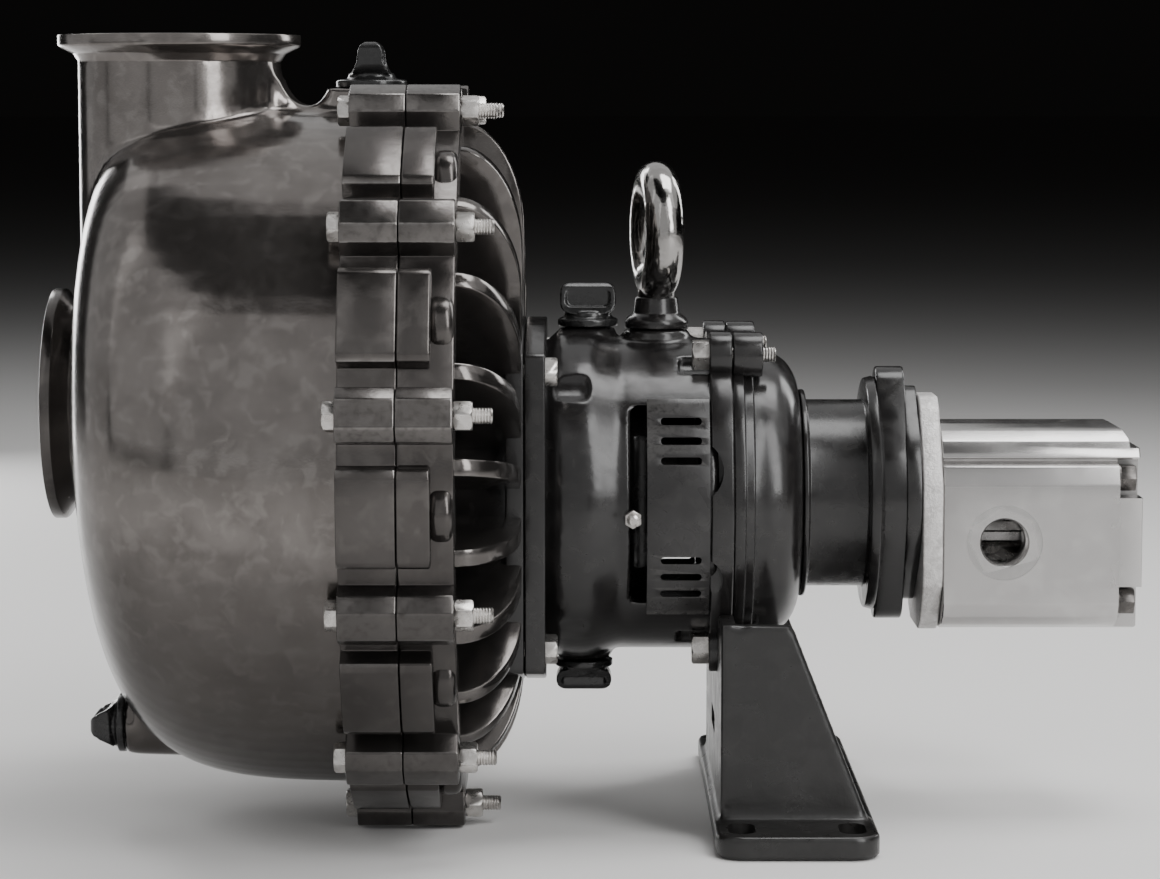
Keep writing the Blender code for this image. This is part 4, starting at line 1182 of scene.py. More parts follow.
@dataclass
class BearingFrame:
    """Bearing frame: front flange, drum, lantern and rear flange in one casting."""

    front_x: float = -0.1322
    flange_x: float = -0.1220
    drum_r: float = 0.0846
    lantern_r: float = 0.0795
    inner_r: float = 0.0660
    rear_x0: float = -0.0405
    rear_x1: float = -0.0293
    rear_r: float = 0.0832
    lug_r: float = 0.0116
    scallop: float = 0.0059
    front_bolt_r: float = 0.0974
    pocket_r: float = 0.0152
    pocket_x: Pair = (-0.1300, -0.0995)
    eye_boss_r: float = 0.0170
    oil_boss_r: float = 0.0145
    window_x: Pair = (-0.0804, -0.0440)
    window_y: float = 0.0440
    window_z: Pair = (SHAFT_Z - 0.0480, SHAFT_Z + 0.0500)
    scallops: tuple[Pair, ...] = ((0.0158, 0.1815), (0.0108, 0.1270))
    rear_bolt_r: float = 0.0855
    grain: float = 0.00125

    def front_centres(self) -> list[Pair]:
        """Centres of the screws of the front flange."""
        return ring_of((0.0, PLATE_Z), self.front_bolt_r, four_angles(45.0))

    def rear_centres(self) -> list[Pair]:
        """Centres of the screws of the rear flange."""
        return ring_of(ON_SHAFT, self.rear_bolt_r, four_angles(60.0))

    def drum(self) -> Solid:
        """Cast skin of the drum and the lantern with the bosses, pockets and windows.

        Returns:
            The drum.
        """
        line = [(self.flange_x - 0.006, 0.0), (self.flange_x - 0.006, 0.0770), (-0.1205, 0.0785)]
        line += [(-0.1185, 0.0815), (-0.1150, 0.0836), (-0.1100, 0.0843), (-0.1050, self.drum_r)]
        line += [(-0.1010, 0.0843), (-0.0975, 0.0834), (-0.0870, 0.0798), (-0.0845, 0.0793)]
        line += [(-0.0820, self.lantern_r), (self.rear_x0 + 0.004, self.lantern_r)]
        line += [(self.rear_x0 + 0.004, 0.0)]
        skin = Solid.spun(Axis.X, ON_SHAFT, line, 96).join(
            Solid.bar(Axis.Z, (EYE_X, 0.0), self.eye_boss_r, SHAFT_Z + 0.070, SHAFT_Z + 0.0845, 48),
            Solid.bar(Axis.Z, (OIL_FILL_X, 0.0), self.oil_boss_r, SHAFT_Z + 0.070, OIL_TOP, 48),
            Solid.bar(Axis.Z, (OIL_DRAIN_X, 0.0), self.oil_boss_r, OIL_BOTTOM, SHAFT_Z - 0.070, 48),
        )
        skin.cast(self.grain, 2).fillet(4, 14)
        cavity = [(-0.0700, 0.0), (-0.0700, 0.0545), (-0.0800, 0.0560), (-0.0800, self.inner_r)]
        tools = [Solid.spun(Axis.X, ON_SHAFT, cavity + [(-0.0200, self.inner_r), (-0.0200, 0.0)], 72)]
        for side in (-1.0, 1.0):
            span = on_side(side, self.window_y, 0.1200)
            ends = zip(self.window_x, span, self.window_z)
            tools.append(Solid.box(*ends).soften(0.004, 3))
        tools.append(Solid.bar(Axis.X, ON_SHAFT, SHAFT_BORE_R, -0.15, -0.07, 48))
        for place in self.front_centres():
            tools.append(Solid.bar(Axis.X, place, self.pocket_r, *self.pocket_x, 64).soften(0.0040, 4))
        for place in self.rear_centres():
            tools.append(Solid.bar(Axis.X, place, 0.0100, -0.0560, self.rear_x0 + 0.01, 32))
        return skin.carve(*tools, solver=Solver.MANIFOLD).cast(self.grain, 2)

    def flanges(self) -> Solid:
        """Plate in front and turned flange behind, with four screw lugs and two scallops each side.

        Returns:
            Both flanges.
        """
        both = frame_plate(self.front_x, self.flange_x)
        both.carve(Solid.bar(Axis.X, ON_SHAFT, SHAFT_BORE_R, -0.15, -0.11, 48))
        rear = [(self.rear_x0, 0.060), (self.rear_x0, self.rear_r)]
        rear += [(self.rear_x1, self.rear_r), (self.rear_x1, 0.060)]
        flange = Solid.spun(Axis.X, ON_SHAFT, rear, 128).soften(0.0011, 3)
        for radius, z in self.scallops:
            middle = (self.rear_x0 + self.scallop - radius, z)
            for side in (-1.0, 1.0):
                flange.carve(Solid.bar(Axis.Y, middle, radius, *on_side(side, 0.0720, 0.1000), 64))
        both.join(flange)
        for place in self.rear_centres():
            lug = Solid.bar(Axis.X, place, self.lug_r, self.rear_x0 - 0.0002, self.rear_x1 - 0.0001)
            both.join(lug.soften(0.001, 3))
        return both

    def dress(self) -> None:
        """Show the frame's pieces."""
        show(self.drum(), "frame_drum", FRAME, ("bearing_frame",), 50.0)
        show(self.flanges(), "frame_flanges", FRAME, ("bearing_frame",))


@dataclass
class CouplingGuard:
    """Slotted sheet over one window of the lantern."""

    name: str
    side: float
    outer_r: float = 0.0835
    inner_r: float = 0.0819
    spread: float = 40.0
    x0: float = -0.0720
    x1: float = -0.0412
    slot_x0: float = -0.0636
    slot_x1: float = -0.0469
    slot_r: float = 0.0018
    cut_y: Pair = (0.05, 0.12)
    slot_heights: tuple[float, ...] = (0.2052, 0.1960, 0.1865, 0.1373, 0.1287, 0.1199)

    def dress(self) -> None:
        """Show the sheet with its slots cut and its edges eased."""
        start = 180.0 if self.side < 0.0 else 0.0
        outline = arc(ON_SHAFT, self.outer_r, start - self.spread, start + self.spread, 32)
        outline += arc(ON_SHAFT, self.inner_r, start + self.spread, start - self.spread, 32)
        sheet = Solid.slab(Axis.X, self.x0, self.x1, outline)
        for height in self.slot_heights:
            slot = arc((self.slot_x0, height), self.slot_r, 90.0, 270.0, 8)
            slot += arc((self.slot_x1, height), self.slot_r, -90.0, 90.0, 8)
            sheet.carve(Solid.slab(Axis.Y, *on_side(self.side, *self.cut_y), slot))
        show(sheet.soften(0.0005, 2, 40.0), self.name + "_sheet", GUARD, (self.name,))


@dataclass
class EndBell:
    """Stepped dome that closes the rear of the frame."""

    frame: BearingFrame
    end_x: float = 0.0066
    bore_r: float = 0.0160

    def dress(self) -> None:
        """Show the turned bell with its screw lugs."""
        start = self.frame.rear_x1 + GAP
        line = [(start, self.bore_r), (start, 0.0805), (-0.0236, 0.0805), (-0.0233, 0.0765)]
        line += [(-0.0190, 0.0765), (-0.0187, 0.0735), (-0.0130, 0.0730), (-0.0090, 0.0722)]
        line += [(-0.0055, 0.0711), (-0.0030, 0.0698), (-0.0004, 0.0677), (0.0018, 0.0650)]
        line += [(0.0036, 0.0620), (0.0050, 0.0585), (0.0060, 0.0545)]
        line += [(self.end_x, 0.0500), (self.end_x, self.bore_r)]
        bell = Solid.spun(Axis.X, ON_SHAFT, line, 128).soften(0.0006, 2, 32.0)
        for place in self.frame.rear_centres():
            lug = Solid.bar(Axis.X, place, self.frame.lug_r - 0.0003, start + 0.0001, -0.0140, 48)
            bell.join(lug.soften(0.0012, 3))
        show(bell, "end_bell_turned", FRAME, ("end_bell",))


@dataclass
class MotorAdapter:
    """Tube with a collar and a two-eared flange for the motor."""

    tube_r: float = 0.0478
    x0: float = 0.0069
    tube_x1: float = 0.0395
    ear_x0: float = 0.0455
    ear_x1: float = 0.0600
    plate_x1: float = 0.0665
    bore_r: float = 0.0160

    def ears(self, ear_r: float, offset: float, waist: float) -> list[Pair]:
        """Outline with an ear at the top and the bottom and a round waist.

        Args:
            ear_r: Radius of an ear.
            offset: Distance of an ear's middle from the shaft.
            waist: Radius of the waist.

        Returns:
            Points across the shaft.
        """
        lean = math.degrees(math.acos((waist - ear_r) / offset))
        points = arc((0.0, SHAFT_Z + offset), ear_r, 90.0 - lean, 90.0 + lean, 24)
        points += arc(ON_SHAFT, waist, 90.0 + lean, 270.0 - lean, 28)
        points += arc((0.0, SHAFT_Z - offset), ear_r, 270.0 - lean, 270.0 + lean, 24)
        return points + arc(ON_SHAFT, waist, -90.0 + lean, 90.0 - lean, 28)

    def dress(self) -> None:
        """Show the tube and its flanges."""
        line = [(self.x0, self.bore_r), (self.x0, 0.0530), (0.0095, 0.0530), (0.0100, self.tube_r)]
        line += [(self.tube_x1, self.tube_r), (self.tube_x1 + 0.0004, 0.0588), (0.0447, 0.0600)]
        line += [(self.ear_x0, 0.0560), (self.ear_x0 + 0.002, 0.0480), (self.ear_x0 + 0.002, self.bore_r)]
        tube = Solid.spun(Axis.X, ON_SHAFT, line, 128).soften(0.0008, 3)
        outline = self.ears(ear_r=0.0150, offset=0.0500, waist=0.0440)
        ears = Solid.slab(Axis.X, self.ear_x0, self.ear_x1, outline).soften(0.0012, 3, 40.0)
        outline = self.ears(ear_r=0.0110, offset=0.0440, waist=0.0455)
        plate = Solid.slab(Axis.X, self.ear_x1 - 0.001, self.plate_x1, outline).soften(0.0008, 2, 40.0)
        show(tube.join(ears, plate), "motor_adapter_turned", FRAME, ("motor_adapter",))


@dataclass
class GearMotor:
    """Aluminium gear motor with a grainy cover and two ports."""

    cover_x0: float = 0.0668
    cover_x1: float = 0.0770
    end_x: float = 0.1770
    port_x: float = 0.1080
    port_z: float = 0.1415
    port_r: float = 0.0125
    spotface_r: float = 0.0190
    face_y: float = 0.0440
    step_x: float = 0.1655
    notch_y: float = 0.0262
    notches_z: tuple[Pair, ...] = ((0.1640, 0.1826), (0.0900, 0.1192))
    screw_y: float = 0.0350
    screws_z: Pair = (0.1735, 0.1112)
    screw_end_x: float = 0.1742
    shaft_r: float = 0.0094
    gear_r: float = 0.0222
    gear_gap: float = 0.0400
    gears_x: Pair = (0.0915, 0.1245)
    dowel_x: float = 0.1430
    dowel_r: float = 0.0030

    def section(self) -> list[Pair]:
        """Cross-section of the body, flat on the sides with stepped shoulders.

        Returns:
            Points across the shaft.
        """
        half = [(0.0120, 0.1988), (0.0220, 0.1962), (0.0290, 0.1915), (0.0330, 0.1862), (0.0345, 0.1832)]
        half += [(0.0330, 0.1822), (0.0345, 0.1810), (0.0400, 0.1795)]
        half += [(self.face_y, 0.1706), (self.face_y, 0.1106)]
        half += [(0.0400, 0.1030), (0.0330, 0.0985), (0.0230, 0.0955), (0.0120, 0.0947)]
        return mirrored(half)

    def body(self) -> Solid:
        """Extruded body with the gear chamber, ports, spotfaces and bolt seats cut in.

        Returns:
            The body of the motor.
        """
        body = Solid.slab(Axis.X, self.cover_x1 + GAP, self.end_x, self.section()).soften(0.0009, 3, 12.0)
        port = (self.port_x, self.port_z)
        for z in (SHAFT_Z, SHAFT_Z - self.gear_gap):
            body.carve(Solid.bar(Axis.X, (0.0, z), self.gear_r, *self.gears_x, 64))
        body.carve(Solid.bar(Axis.Y, port, self.port_r, -0.08, 0.08, 64))
        for side in (-1.0, 1.0):
            seat = on_side(side, self.face_y - 0.0004, 0.08)
            body.carve(Solid.bar(Axis.Y, port, self.spotface_r, *seat, 96))
            near, far = on_side(side, self.notch_y, 0.0600)
            for low, high in self.notches_z:
                body.carve(Solid.box((self.step_x, near, low), (self.end_x + 0.01, far, high)))
        body.carve(Solid.bar(Axis.X, ON_SHAFT, self.shaft_r, 0.05, 0.1000, 48))
        behind = self.end_x + 0.01
        slope = [(0.1648, 0.21), (0.1648, 0.1988), (0.1690, 0.1968), (0.1716, 0.1925), (0.1722, 0.1880)]
        body.carve(Solid.slab(Axis.Y, -0.06, 0.06, slope + [(behind, 0.1880), (behind, 0.21)]))
        return body.carve(Solid.bar(Axis.Z, (self.dowel_x, 0.0), self.dowel_r, 0.1950, 0.21, 32))

    def port_lining(self, side: float) -> Solid:
        """Threaded lining of one port with a chamfered mouth.

        Args:
            side: -1 for the near port, 1 for the far one.

        Returns:
            The lining.
        """
        mouth = side * (self.face_y - 0.0005)
        inner = side * (self.face_y - 0.0150)
        line = [(mouth, self.port_r + 0.0010)]
        line += threads(mouth - side * 0.0012, inner, self.port_r - 0.0003, 0.0018)
        line += [(inner, self.port_r + 0.0010)]
        return Solid.spun(Axis.Y, (self.port_x, self.port_z), line, 72)

    def cover(self) -> Solid:
        """Front cover: a cast plate with a short ear above the body.

        Returns:
            The cover.
        """
        half = [(0.0110, 0.2127), (0.0200, 0.2075), (0.0445, 0.1725), (0.0460, 0.1680), (0.0460, 0.1250)]
        half += [(0.0440, 0.1190), (0.0280, 0.0990), (0.0180, 0.0940)]
        cover = Solid.slab(Axis.X, self.cover_x0, self.cover_x1, mirrored(half)).soften(0.0012, 3, 20.0)
        return cover.carve(Solid.bar(Axis.X, ON_SHAFT, self.shaft_r, 0.05, 0.09, 48))

    def dress(self) -> None:
        """Show the motor's pieces."""
        body = self.body().join(self.port_lining(-1.0), self.port_lining(1.0))
        show(body, "motor_body_extruded", MOTOR, ("motor_body",))
        show(self.cover(), "motor_cover_cast", COVER, ("motor_front_cover",))
        bolts = Solid()
        for side in (-1.0, 1.0):
            for z in self.screws_z:
                spot, seat = (side * self.screw_y, z), self.step_x + 0.0010
                bolts.join(Solid.bar(Axis.X, spot, 0.0073, seat, self.screw_end_x, 6).soften(0.0006, 2))
                bolts.join(Solid.bar(Axis.X, spot, 0.0068, self.step_x - 0.0010, seat, 32))
        show(bolts, "motor_screws", SCREW, ("motor_body",))


@dataclass
class SupportFoot:
    """Foot: a base plate with four slots, a web and two tapered side plates."""

    x0: float = -0.0395
    x1: float = 0.0395
    half_y: float = 0.1360
    plate: float = 0.0114
    corner: float = 0.0130
    slot_r: float = 0.0066
    slot_half: float = 0.0058
    slot_x: float = 0.0268
    slot_y: float = 0.1155
    web_x0: float = -0.0362
    web_x1: float = -0.0287
    gusset_y: float = 0.0970
    gusset_thick: float = 0.0080
    top_z: float = 0.1080
    cradle_r: float = 0.0838
    lug_room_r: float = 0.0122
    grain: float = 0.0014

    def base(self) -> Solid:
        """Base plate with rounded corners and a soft top edge.

        Returns:
            The plate.
        """
        r, y = self.corner, self.half_y - self.corner
        low, high = self.x0 + r, self.x1 - r
        outline = []
        for index, middle in enumerate(((high, y), (low, y), (low, -y), (high, -y))):
            outline += arc(middle, r, 90.0 * index, 90.0 * index + 90.0, 12)
        return Solid.slab(Axis.Z, 0.0, self.plate, outline).soften(0.0016, 3, 60.0)

    def dress(self) -> None:
        """Show the foot as one casting with crisp slots."""
        low = self.plate - 0.002
        high, half = self.top_z, self.gusset_y
        web = [(-half, low), (-half, high), (half, high), (half, low)]
        back = self.web_x0 + 0.0002
        gusset = [(back, low), (0.0375, low), (0.0353, self.plate + 0.0030)]
        gusset += [(0.0000, high - 0.0040), (-0.0020, high - 0.0008), (back, high)]
        foot = self.base().join(Solid.slab(Axis.X, self.web_x0, self.web_x1, web))
        for side in (-1.0, 1.0):
            foot.join(Solid.slab(Axis.Y, *on_side(side, half - self.gusset_thick, half), gusset))
        foot.cast(self.grain, 2).fillet(3, 12)
        tools = [Solid.bar(Axis.X, ON_SHAFT, self.cradle_r, -0.10, 0.10, 128)]
        for place in BearingFrame().rear_centres():
            tools.append(Solid.bar(Axis.X, place, self.lug_room_r, -0.10, 0.01, 48))
        tools.append(Solid.box((-0.05, -0.0200, 0.0400), (-0.02, 0.0200, 0.0500)).soften(0.003, 3))
        for x in (-self.slot_x, self.slot_x):
            for y in (-self.slot_y, self.slot_y):
                ring = arc((x, y + self.slot_half), self.slot_r, 0.0, 180.0, 16)
                ring += arc((x, y - self.slot_half), self.slot_r, 180.0, 360.0, 16)
                tools.append(Solid.slab(Axis.Z, -0.02, 0.04, ring))
        show(foot.carve(*tools, solver=Solver.MANIFOLD), "foot_casting", FOOT, ("support_foot",), 40.0)


@dataclass
class LiftingEye:
    """Forged lifting eye with a collar and a shank."""

    x: float = EYE_X
    ring_r: float = 0.0260
    bar_r: float = 0.0100
    centre_z: float = 0.2960
    seat_z: float = SHAFT_Z + 0.0848
    turn: float = 8.0
    grain: float = 0.0008

    def dress(self) -> None:
        """Show the ring and its shank as one forging."""
        ring = Solid()
        upright = Matrix.Rotation(0.5 * math.pi, 4, "Y") @ Matrix.Rotation(0.5 * math.pi, 4, "X")
        made = bmesh.ops.create_circle(
            ring.mesh,
            cap_ends=False,
            segments=36,
            radius=self.bar_r - 0.0002,
            matrix=Matrix.Translation((0.0, 0.0, self.ring_r)) @ upright,
        )["verts"]
        ring.turned(made + ring.mesh.edges[:], Vector((0.0, 0.0, 0.0)), Axis.X.direction(), 84)
        turn = Matrix.Rotation(math.radians(self.turn), 4, "Z")
        place = Matrix.Translation((self.x, 0.0, self.centre_z)) @ turn
        bmesh.ops.transform(ring.mesh, matrix=place, verts=ring.mesh.verts[:])
        top, foot = self.seat_z, self.centre_z - self.ring_r
        line = [(top, 0.0), (top, 0.0162), (top + 0.0032, 0.0162), (top + 0.0052, 0.0150)]
        line += [(top + 0.0075, 0.0118), (foot - 0.0075, 0.0108), (foot - 0.0075, 0.0)]
        collar = Solid.spun(Axis.Z, (self.x, 0.0), line, 60).soften(0.0006, 3, 25.0)
        show(collar, "lifting_eye_collar", FRAME, ("lifting_eye",))
        neck = [(foot - 0.0090, 0.0), (foot - 0.0090, 0.0098), (foot, 0.0092), (foot, 0.0)]
        ring.mended().join(Solid.spun(Axis.Z, (self.x, 0.0), neck, 60))
        show(ring.cast(self.grain, 3).fillet(4, 12), "lifting_eye_forged", EYE, ("lifting_eye",), 60.0)


@dataclass
class WingPlug:
    """Moulded plug with a round base that flares in to a flat wing."""

    node: str
    axis: Axis
    centre: Pair
    seat: float
    out: float
    height: float
    base_r: float
    wing_on_a: bool
    wing_half: float = 0.0142
    grain: float = 0.0005

    def wing(self) -> Solid:
        """Flat wing: round corners seen broad side on, a flared root seen edge on.

        Returns:
            The wing.
        """
        thick_axis = Axis(self.thick_axis())
        wide, high, root = self.wing_half, self.height, 0.30 * self.height
        broad = [(-wide, root), (-wide, high), (wide, high), (wide, root)]
        points = [self.spot(a, -0.02, h) for a, h in broad]
        plate = Solid.pushed(points, self.spot(0.0, 0.02, 0.0) - self.spot(0.0, -0.02, 0.0))
        plate.ease_along(thick_axis, 0.0050, 5)
        half = [(0.0128, 0.0040), (0.0098, 0.0070), (0.0079, 0.0102), (0.0067, 0.0133)]
        half += [(0.0062, high - 0.0046), (0.0050, high - 0.0018), (0.0028, high)]
        edge = half + [(-b, h) for b, h in reversed(half)]
        points = [self.spot(-0.03, b, h) for b, h in edge]
        flared = Solid.pushed(points, self.spot(0.03, 0.0, 0.0) - self.spot(-0.03, 0.0, 0.0))
        plate.combine("INTERSECT", flared, Solver.EXACT)
        wide, low = wide - 0.0030, root + 0.0036
        panel = [(-wide, low), (-wide, high - 0.0030), (wide, high - 0.0030), (wide, low)]
        rounding = min(0.0028, 0.3 * (high - low))
        for face in (-1.0, 1.0):
            travel = self.spot(0.0, face * 0.02, 0.0) - self.spot(0.0, 0.0, 0.0)
            dish = Solid.pushed([self.spot(a, face * 0.0054, h) for a, h in panel], travel)
            plate.carve(dish.ease_along(thick_axis, rounding, 4))
        return plate

    def thick_axis(self) -> int:
        """Number of the axis that runs through the wing's thickness."""
        across = [axis for axis in (0, 1, 2) if axis != self.axis.value]
        return across[1] if self.wing_on_a else across[0]

    def dress(self) -> None:
        """Show the plug as one moulding."""
        seat, out, edge_r = self.seat, self.out, self.base_r - 0.0002
        line = [(seat, 0.0), (seat, edge_r), (seat + out * 0.0034, edge_r)]
        line += [(seat + out * 0.0040, self.base_r - 0.0012), (seat + out * 0.0044, 0.0126)]
        line += [(seat + out * 0.0074, 0.0112), (seat + out * 0.0074, 0.0)]
        plug = Solid.spun(self.axis, self.centre, line, 64).join(self.wing())
        plug.cast(self.grain, 3).fillet(3, 8)
        show(plug, self.node + "_moulded", PLUG, (self.node,), 60.0)

    def spot(self, wide: float, thick: float, high: float) -> Vector:
        """Return the point at a place across the wing, through it and up from the seat."""
        a, b = (wide, thick) if self.wing_on_a else (thick, wide)
        return self.axis.place(self.seat + self.out * high, self.centre[0] + a, self.centre[1] + b)


# Plugs as (node, axis, centre, seat, way out, height, radius of the base, wing on the first place across).
PLUGS = (
    ("priming_plug", Axis.Z, (-0.2107, 0.0), TOP_PAD_Z + GAP, 1.0, 0.0230, 0.0182, False),
    ("drain_plug", Axis.X, DRAIN, DRAIN_X - GAP, -1.0, 0.0175, 0.0153, True),
    ("oil_fill_plug", Axis.Z, (OIL_FILL_X, 0.0), OIL_TOP + GAP, 1.0, 0.0220, 0.0155, True),
    ("oil_drain_plug", Axis.Z, (OIL_DRAIN_X, 0.0), OIL_BOTTOM - GAP, -1.0, 0.0160, 0.0150, True),
)


@dataclass
class HexFastener:
    """Hexagon heads, nuts and threaded ends along X."""

    chamfer: float = 0.0011
    casing_across: float = 0.0130
    casing_head: float = 0.0056
    casing_nut: float = 0.0087
    casing_tip: float = 0.0180
    front_across: float = 0.0128
    front_head: float = 0.0060
    rear_across: float = 0.0140
    rear_head: float = 0.0085
    front_seat: float = -0.1224 + GAP
    front_thread_r: float = 0.0036
    rear_end: float = -0.0074

    def prism(self, start: float, end: float, across: float, both: bool) -> Solid:
        """Hexagon with turned corners.

        Args:
            start: Where it starts along X.
            end: Where it ends along X.
            across: Size across its flats.
            both: Whether both ends have turned corners.

        Returns:
            The hexagon about the X axis.
        """
        corner = across / math.sqrt(3.0)
        wide = corner + 0.0002
        cut = math.copysign(1.0, end - start) * self.chamfer
        first = [(start, 0.5 * across), (start + cut, wide)] if both else [(start, wide)]
        line = [(start, 0.0)] + first + [(end - cut, wide), (end, 0.5 * across), (end, 0.0)]
        head = Solid.bar(Axis.X, (0.0, 0.0), corner, start, end, 6)
        head.combine("INTERSECT", Solid.spun(Axis.X, (0.0, 0.0), line, 48), Solver.EXACT)
        return head.soften(0.0002, 1, 40.0)

    def through_bolt(self, head: float, nut: float) -> Solid:
        """Bolt with a thin head, a nut and a threaded end.

        Args:
            head: Where the head is seated along X.
            nut: Where the nut is seated along X.

        Returns:
            The bolt about the X axis.
        """
        bolt = self.prism(head, head - self.casing_head, self.casing_across, False)
        bolt.join(
            self.prism(nut, nut + self.casing_nut, self.casing_across, True),
            Solid.bar(Axis.X, (0.0, 0.0), M8_R, head - 0.001, nut + 0.004, 24),
        )
        end = nut + self.casing_tip
        line = [(nut + 0.0050, 0.0)] + threads(nut + 0.0050, end - 0.0008, M8_R)
        line += [(end, M8_R - 0.0010), (end, 0.0)]
        return bolt.join(Solid.spun(Axis.X, (0.0, 0.0), line, 24))

    def set_out(self, pattern: Solid, label: str, centres: list[Pair], first: float, step: float) -> None:
        """Show a copy of a fastener at each centre, each one turned on from the last.

        Args:
            pattern: The fastener about the X axis.
            label: Name of the nodes, with a place for the number.
            centres: Places across X.
            first: Turn of the first one, in degrees.
            step: Turn from one to the next, in degrees.
        """
        for index, (y, z) in enumerate(centres):
            node = label.format(index + 1)
            turn = Matrix.Rotation(math.radians(first + step * index), 4, "X")
            copy = pattern.copied(Matrix.Translation((0.0, y, z)) @ turn)
            show(copy, node + "_plated", ZINC, (node,))

    def dress_casing(self, joint: BoltedJoint) -> None:
        """Show the through bolts of the casing joint."""
        bolt = self.through_bolt(FLANGE_X - GAP, BACK_X + GAP)
        self.set_out(bolt, "casing_bolt_{:02d}", joint.centres(), 0.0, 17.0)

    def dress_frame(self, bearing: BearingFrame) -> None:
        """Show the screws of the frame's two flanges.

        Args:
            bearing: The frame, which knows where its screws stand.
        """
        seat = self.front_seat
        short = self.prism(seat, seat + self.front_head, self.front_across, False)
        short.join(Solid.bar(Axis.X, (0.0, 0.0), self.front_thread_r, HUB_X - 0.0060, seat + 0.001, 24))
        self.set_out(short, "front_flange_bolt_{}", bearing.front_centres(), 8.0, 25.0)
        seat, end = bearing.rear_x0, self.rear_end
        long = self.prism(seat, seat - self.rear_head, self.rear_across, False)
        line = [(seat - 0.001, 0.0), (seat - 0.001, M8_R), (-0.0180, M8_R)]
        line += threads(-0.0178, end - 0.0006, M8_R) + [(end, M8_R - 0.0010), (end, 0.0)]
        long.join(Solid.spun(Axis.X, (0.0, 0.0), line, 24))
        self.set_out(long, "rear_flange_bolt_{}", bearing.rear_centres(), 4.0, 21.0)


@dataclass
class GreaseNipple:
    """Grease nipple on the near side of the frame."""

    x: float = -0.0790
    z: float = SHAFT_Z - 0.0040

    def dress(self) -> None:
        """Show the nipple: a hexagon, a waist and a round tip."""
        line = [(-0.0838, 0.0), (-0.0838, 0.0030), (-0.0868, 0.0022), (-0.0880, 0.0031), (-0.0890, 0.0030)]
        line += [(-0.0898, 0.0018), (-0.0899, 0.0)]
        nipple = Solid.spun(Axis.Y, (self.x, self.z), line, 32)
        nipple.join(Solid.bar(Axis.Y, (self.x, self.z), 0.0046, -0.0799, -0.0842, 6).soften(0.0003, 1))
        show(nipple, "grease_nipple_plated", ZINC, ("grease_nipple",))


@dataclass
class InnerWorks:
    """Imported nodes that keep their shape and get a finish."""

    finishes: dict[str, Finish] = field(
        default_factory=lambda: {
            "impeller": IMPELLER,
            "pump_shaft": SHAFT,
            "coupling_hub_pump": COUPLING,
            "coupling_hub_motor": COUPLING,
            "motor_drive_gear": SHAFT,
            "motor_driven_gear": SHAFT,
        }
    )

    def dress(self) -> None:
        """Give each kept node its finish."""
        for node, finish in self.finishes.items():
            mesh = frame["nodes"][node].data
            mesh.materials.clear()
            mesh.materials.append(finish.material())
            LOG.info("%s: kept, finish %s", node, finish.name)


# Lights as (name, azimuth, height, reach, size, power), about the studio's middle.
LAMPS = (
    ("front", -6.0, 22.0, 2.4, (2.3, 2.4), 11.8),
    ("front_left", -57.2, 26.5, 2.4, (2.3, 2.6), 13.0),
    ("left", -102.8, 26.0, 2.2, (1.6, 2.6), 7.4),
    ("front_right", 46.2, 27.0, 2.4, (2.4, 2.9), 12.0),
    ("sky", -38.0, 114.0, 1.9, (5.2, 2.2), 27.0),
    ("top", 100.0, 74.0, 1.5, (0.7, 0.9), 13.0),
    ("left_back", -150.0, 14.0, 1.8, (0.3, 1.5), 11.0),
    ("right_front", 40.0, 30.0, 1.9, (0.60, 1.9), 24.0),
    ("right_back", 130.0, 25.0, 1.9, (0.4, 1.2), 9.0),
)


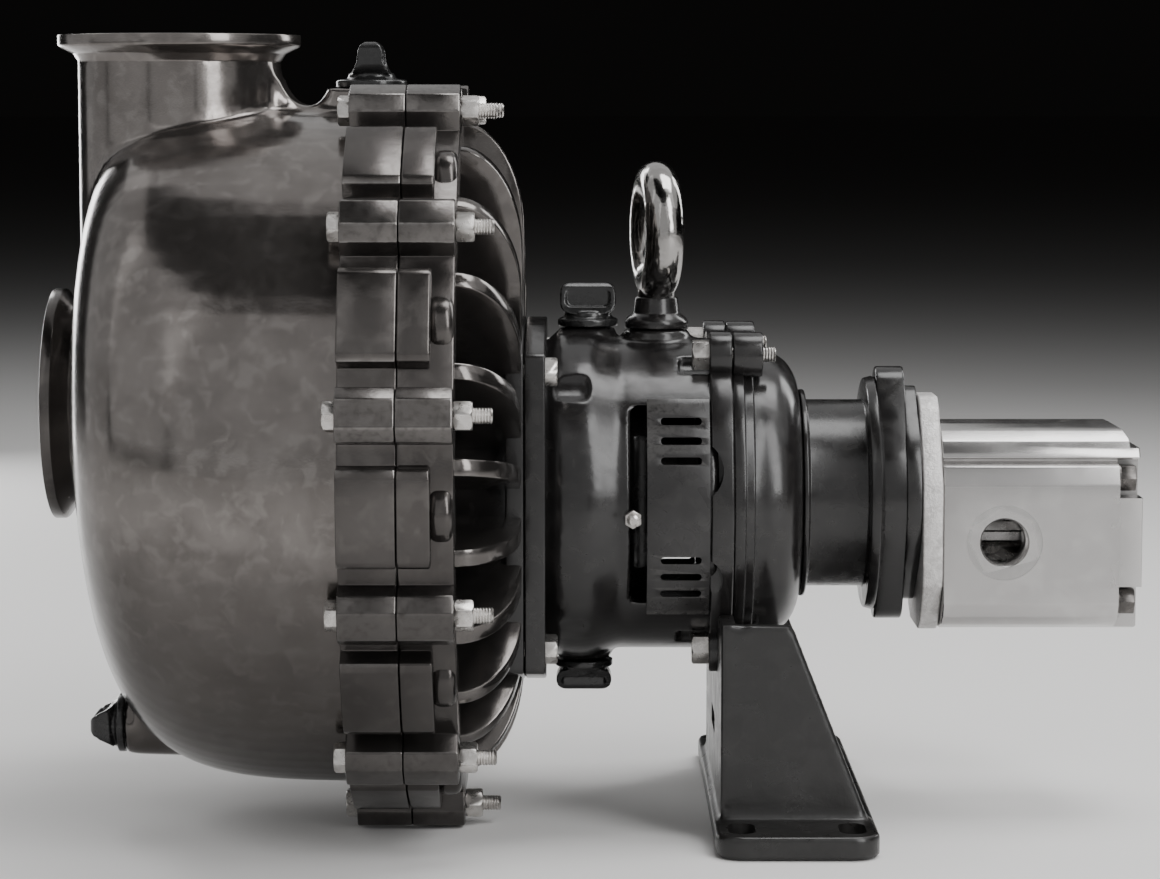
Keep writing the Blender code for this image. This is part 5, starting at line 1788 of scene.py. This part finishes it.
@dataclass
class Studio:
    """Camera, soft lights and a pale floor."""

    place: tuple[float, float, float] = (-0.1050, -1.7270, 0.3610)
    pitch: float = 5.68
    lens: float = 105.02
    middle: tuple[float, float, float] = (-0.10, 0.0, 0.20)
    backdrop: Colour = (0.0035, 0.0033, 0.0032)
    floor_colour: Colour = (0.84, 0.83, 0.82)
    floor_reach: float = 90.0
    floor_fall: Pair = (-0.19, -0.05)
    floor_low: float = -0.0060
    floor_high: float = -0.0005

    def camera(self) -> None:
        """Stand the camera where the photograph was taken from."""
        data = bpy.data.cameras.new("camera")
        data.lens = self.lens
        data.sensor_width = 36.0
        data.clip_end = 300.0
        camera = bpy.data.objects.new("camera", data)
        camera.location = self.place
        camera.rotation_euler = (math.radians(90.0 - self.pitch), 0.0, 0.0)
        bpy.context.scene.collection.objects.link(camera)
        bpy.context.scene.camera = camera

    def lamp(self, name: str, place: Vector, aim: Vector, size: Pair, power: float) -> None:
        """Hang one soft light.

        Args:
            name: Name of the light.
            place: Where it hangs.
            aim: Point that it faces.
            size: Its width and height.
            power: Its power in watts.
        """
        data = bpy.data.lights.new(name, "AREA")
        data.shape = "RECTANGLE"
        data.size, data.size_y = size
        data.energy = power
        lamp = bpy.data.objects.new(name, data)
        lamp.location = place
        lamp.rotation_euler = (aim - place).to_track_quat("-Z", "Y").to_euler()
        bpy.context.scene.collection.objects.link(lamp)

    def seen_from(self, middle: Vector, azimuth: float, height: float, reach: float) -> Vector:
        """Place round the pump.

        Args:
            middle: Point that the place is measured from.
            azimuth: Angle from the camera's side towards the motor, in degrees.
            height: Angle above the level, in degrees; past 90 it leans to the far side.
            reach: Distance from the middle.

        Returns:
            The place.
        """
        turn, rise = math.radians(azimuth), math.radians(height)
        away = Vector((math.sin(turn) * math.cos(rise), -math.cos(turn) * math.cos(rise), math.sin(rise)))
        return middle + reach * away

    def floor(self) -> None:
        """Lay a plain pale floor that falls a little from the foot to the lowest lobe of the casing."""
        plane = Solid()
        bmesh.ops.create_grid(plane.mesh, x_segments=3, y_segments=1, size=self.floor_reach)
        for vert in plane.mesh.verts:
            low = vert.co.x < 0.0
            vert.co.z = self.floor_low if low else self.floor_high
            if abs(vert.co.x) < 0.5 * self.floor_reach:
                vert.co.x = self.floor_fall[0] if low else self.floor_fall[1]
        floor = bpy.data.objects.new("floor", plane.as_mesh("floor"))
        bpy.context.scene.collection.objects.link(floor)
        material = bpy.data.materials.new("floor_pale")
        material.use_nodes = True
        shader = material.node_tree.nodes["Principled BSDF"]
        shader.inputs["Base Color"].default_value = (*self.floor_colour, 1.0)
        shader.inputs["Roughness"].default_value = 0.6
        floor.data.materials.append(material)

    def build(self) -> None:
        """Set up the whole studio."""
        self.camera()
        self.floor()
        world = bpy.data.worlds.new("studio")
        world.use_nodes = True
        world.node_tree.nodes["Background"].inputs["Color"].default_value = (*self.backdrop, 1.0)
        bpy.context.scene.world = world
        middle = Vector(self.middle)
        for name, azimuth, height, reach, size, power in LAMPS:
            self.lamp(name, self.seen_from(middle, azimuth, height, reach), middle, size, power)


def main() -> None:
    """Build and dress every sub-assembly, then set up the studio."""
    logging.basicConfig(level=logging.INFO, format="%(message)s")
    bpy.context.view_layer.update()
    joint = BoltedJoint()
    bearing = BearingFrame()
    VoluteCasing(joint).dress()
    RearAdapter(joint).dress()
    bearing.dress()
    CouplingGuard("coupling_guard_near", -1.0).dress()
    CouplingGuard("coupling_guard_far", 1.0).dress()
    EndBell(bearing).dress()
    MotorAdapter().dress()
    GearMotor().dress()
    SupportFoot().dress()
    LiftingEye().dress()
    for plug in PLUGS:
        WingPlug(*plug).dress()
    fasteners = HexFastener()
    fasteners.dress_casing(joint)
    fasteners.dress_frame(bearing)
    GreaseNipple().dress()
    InnerWorks().dress()
    Studio().build()


if __name__ == "__main__":
    main()
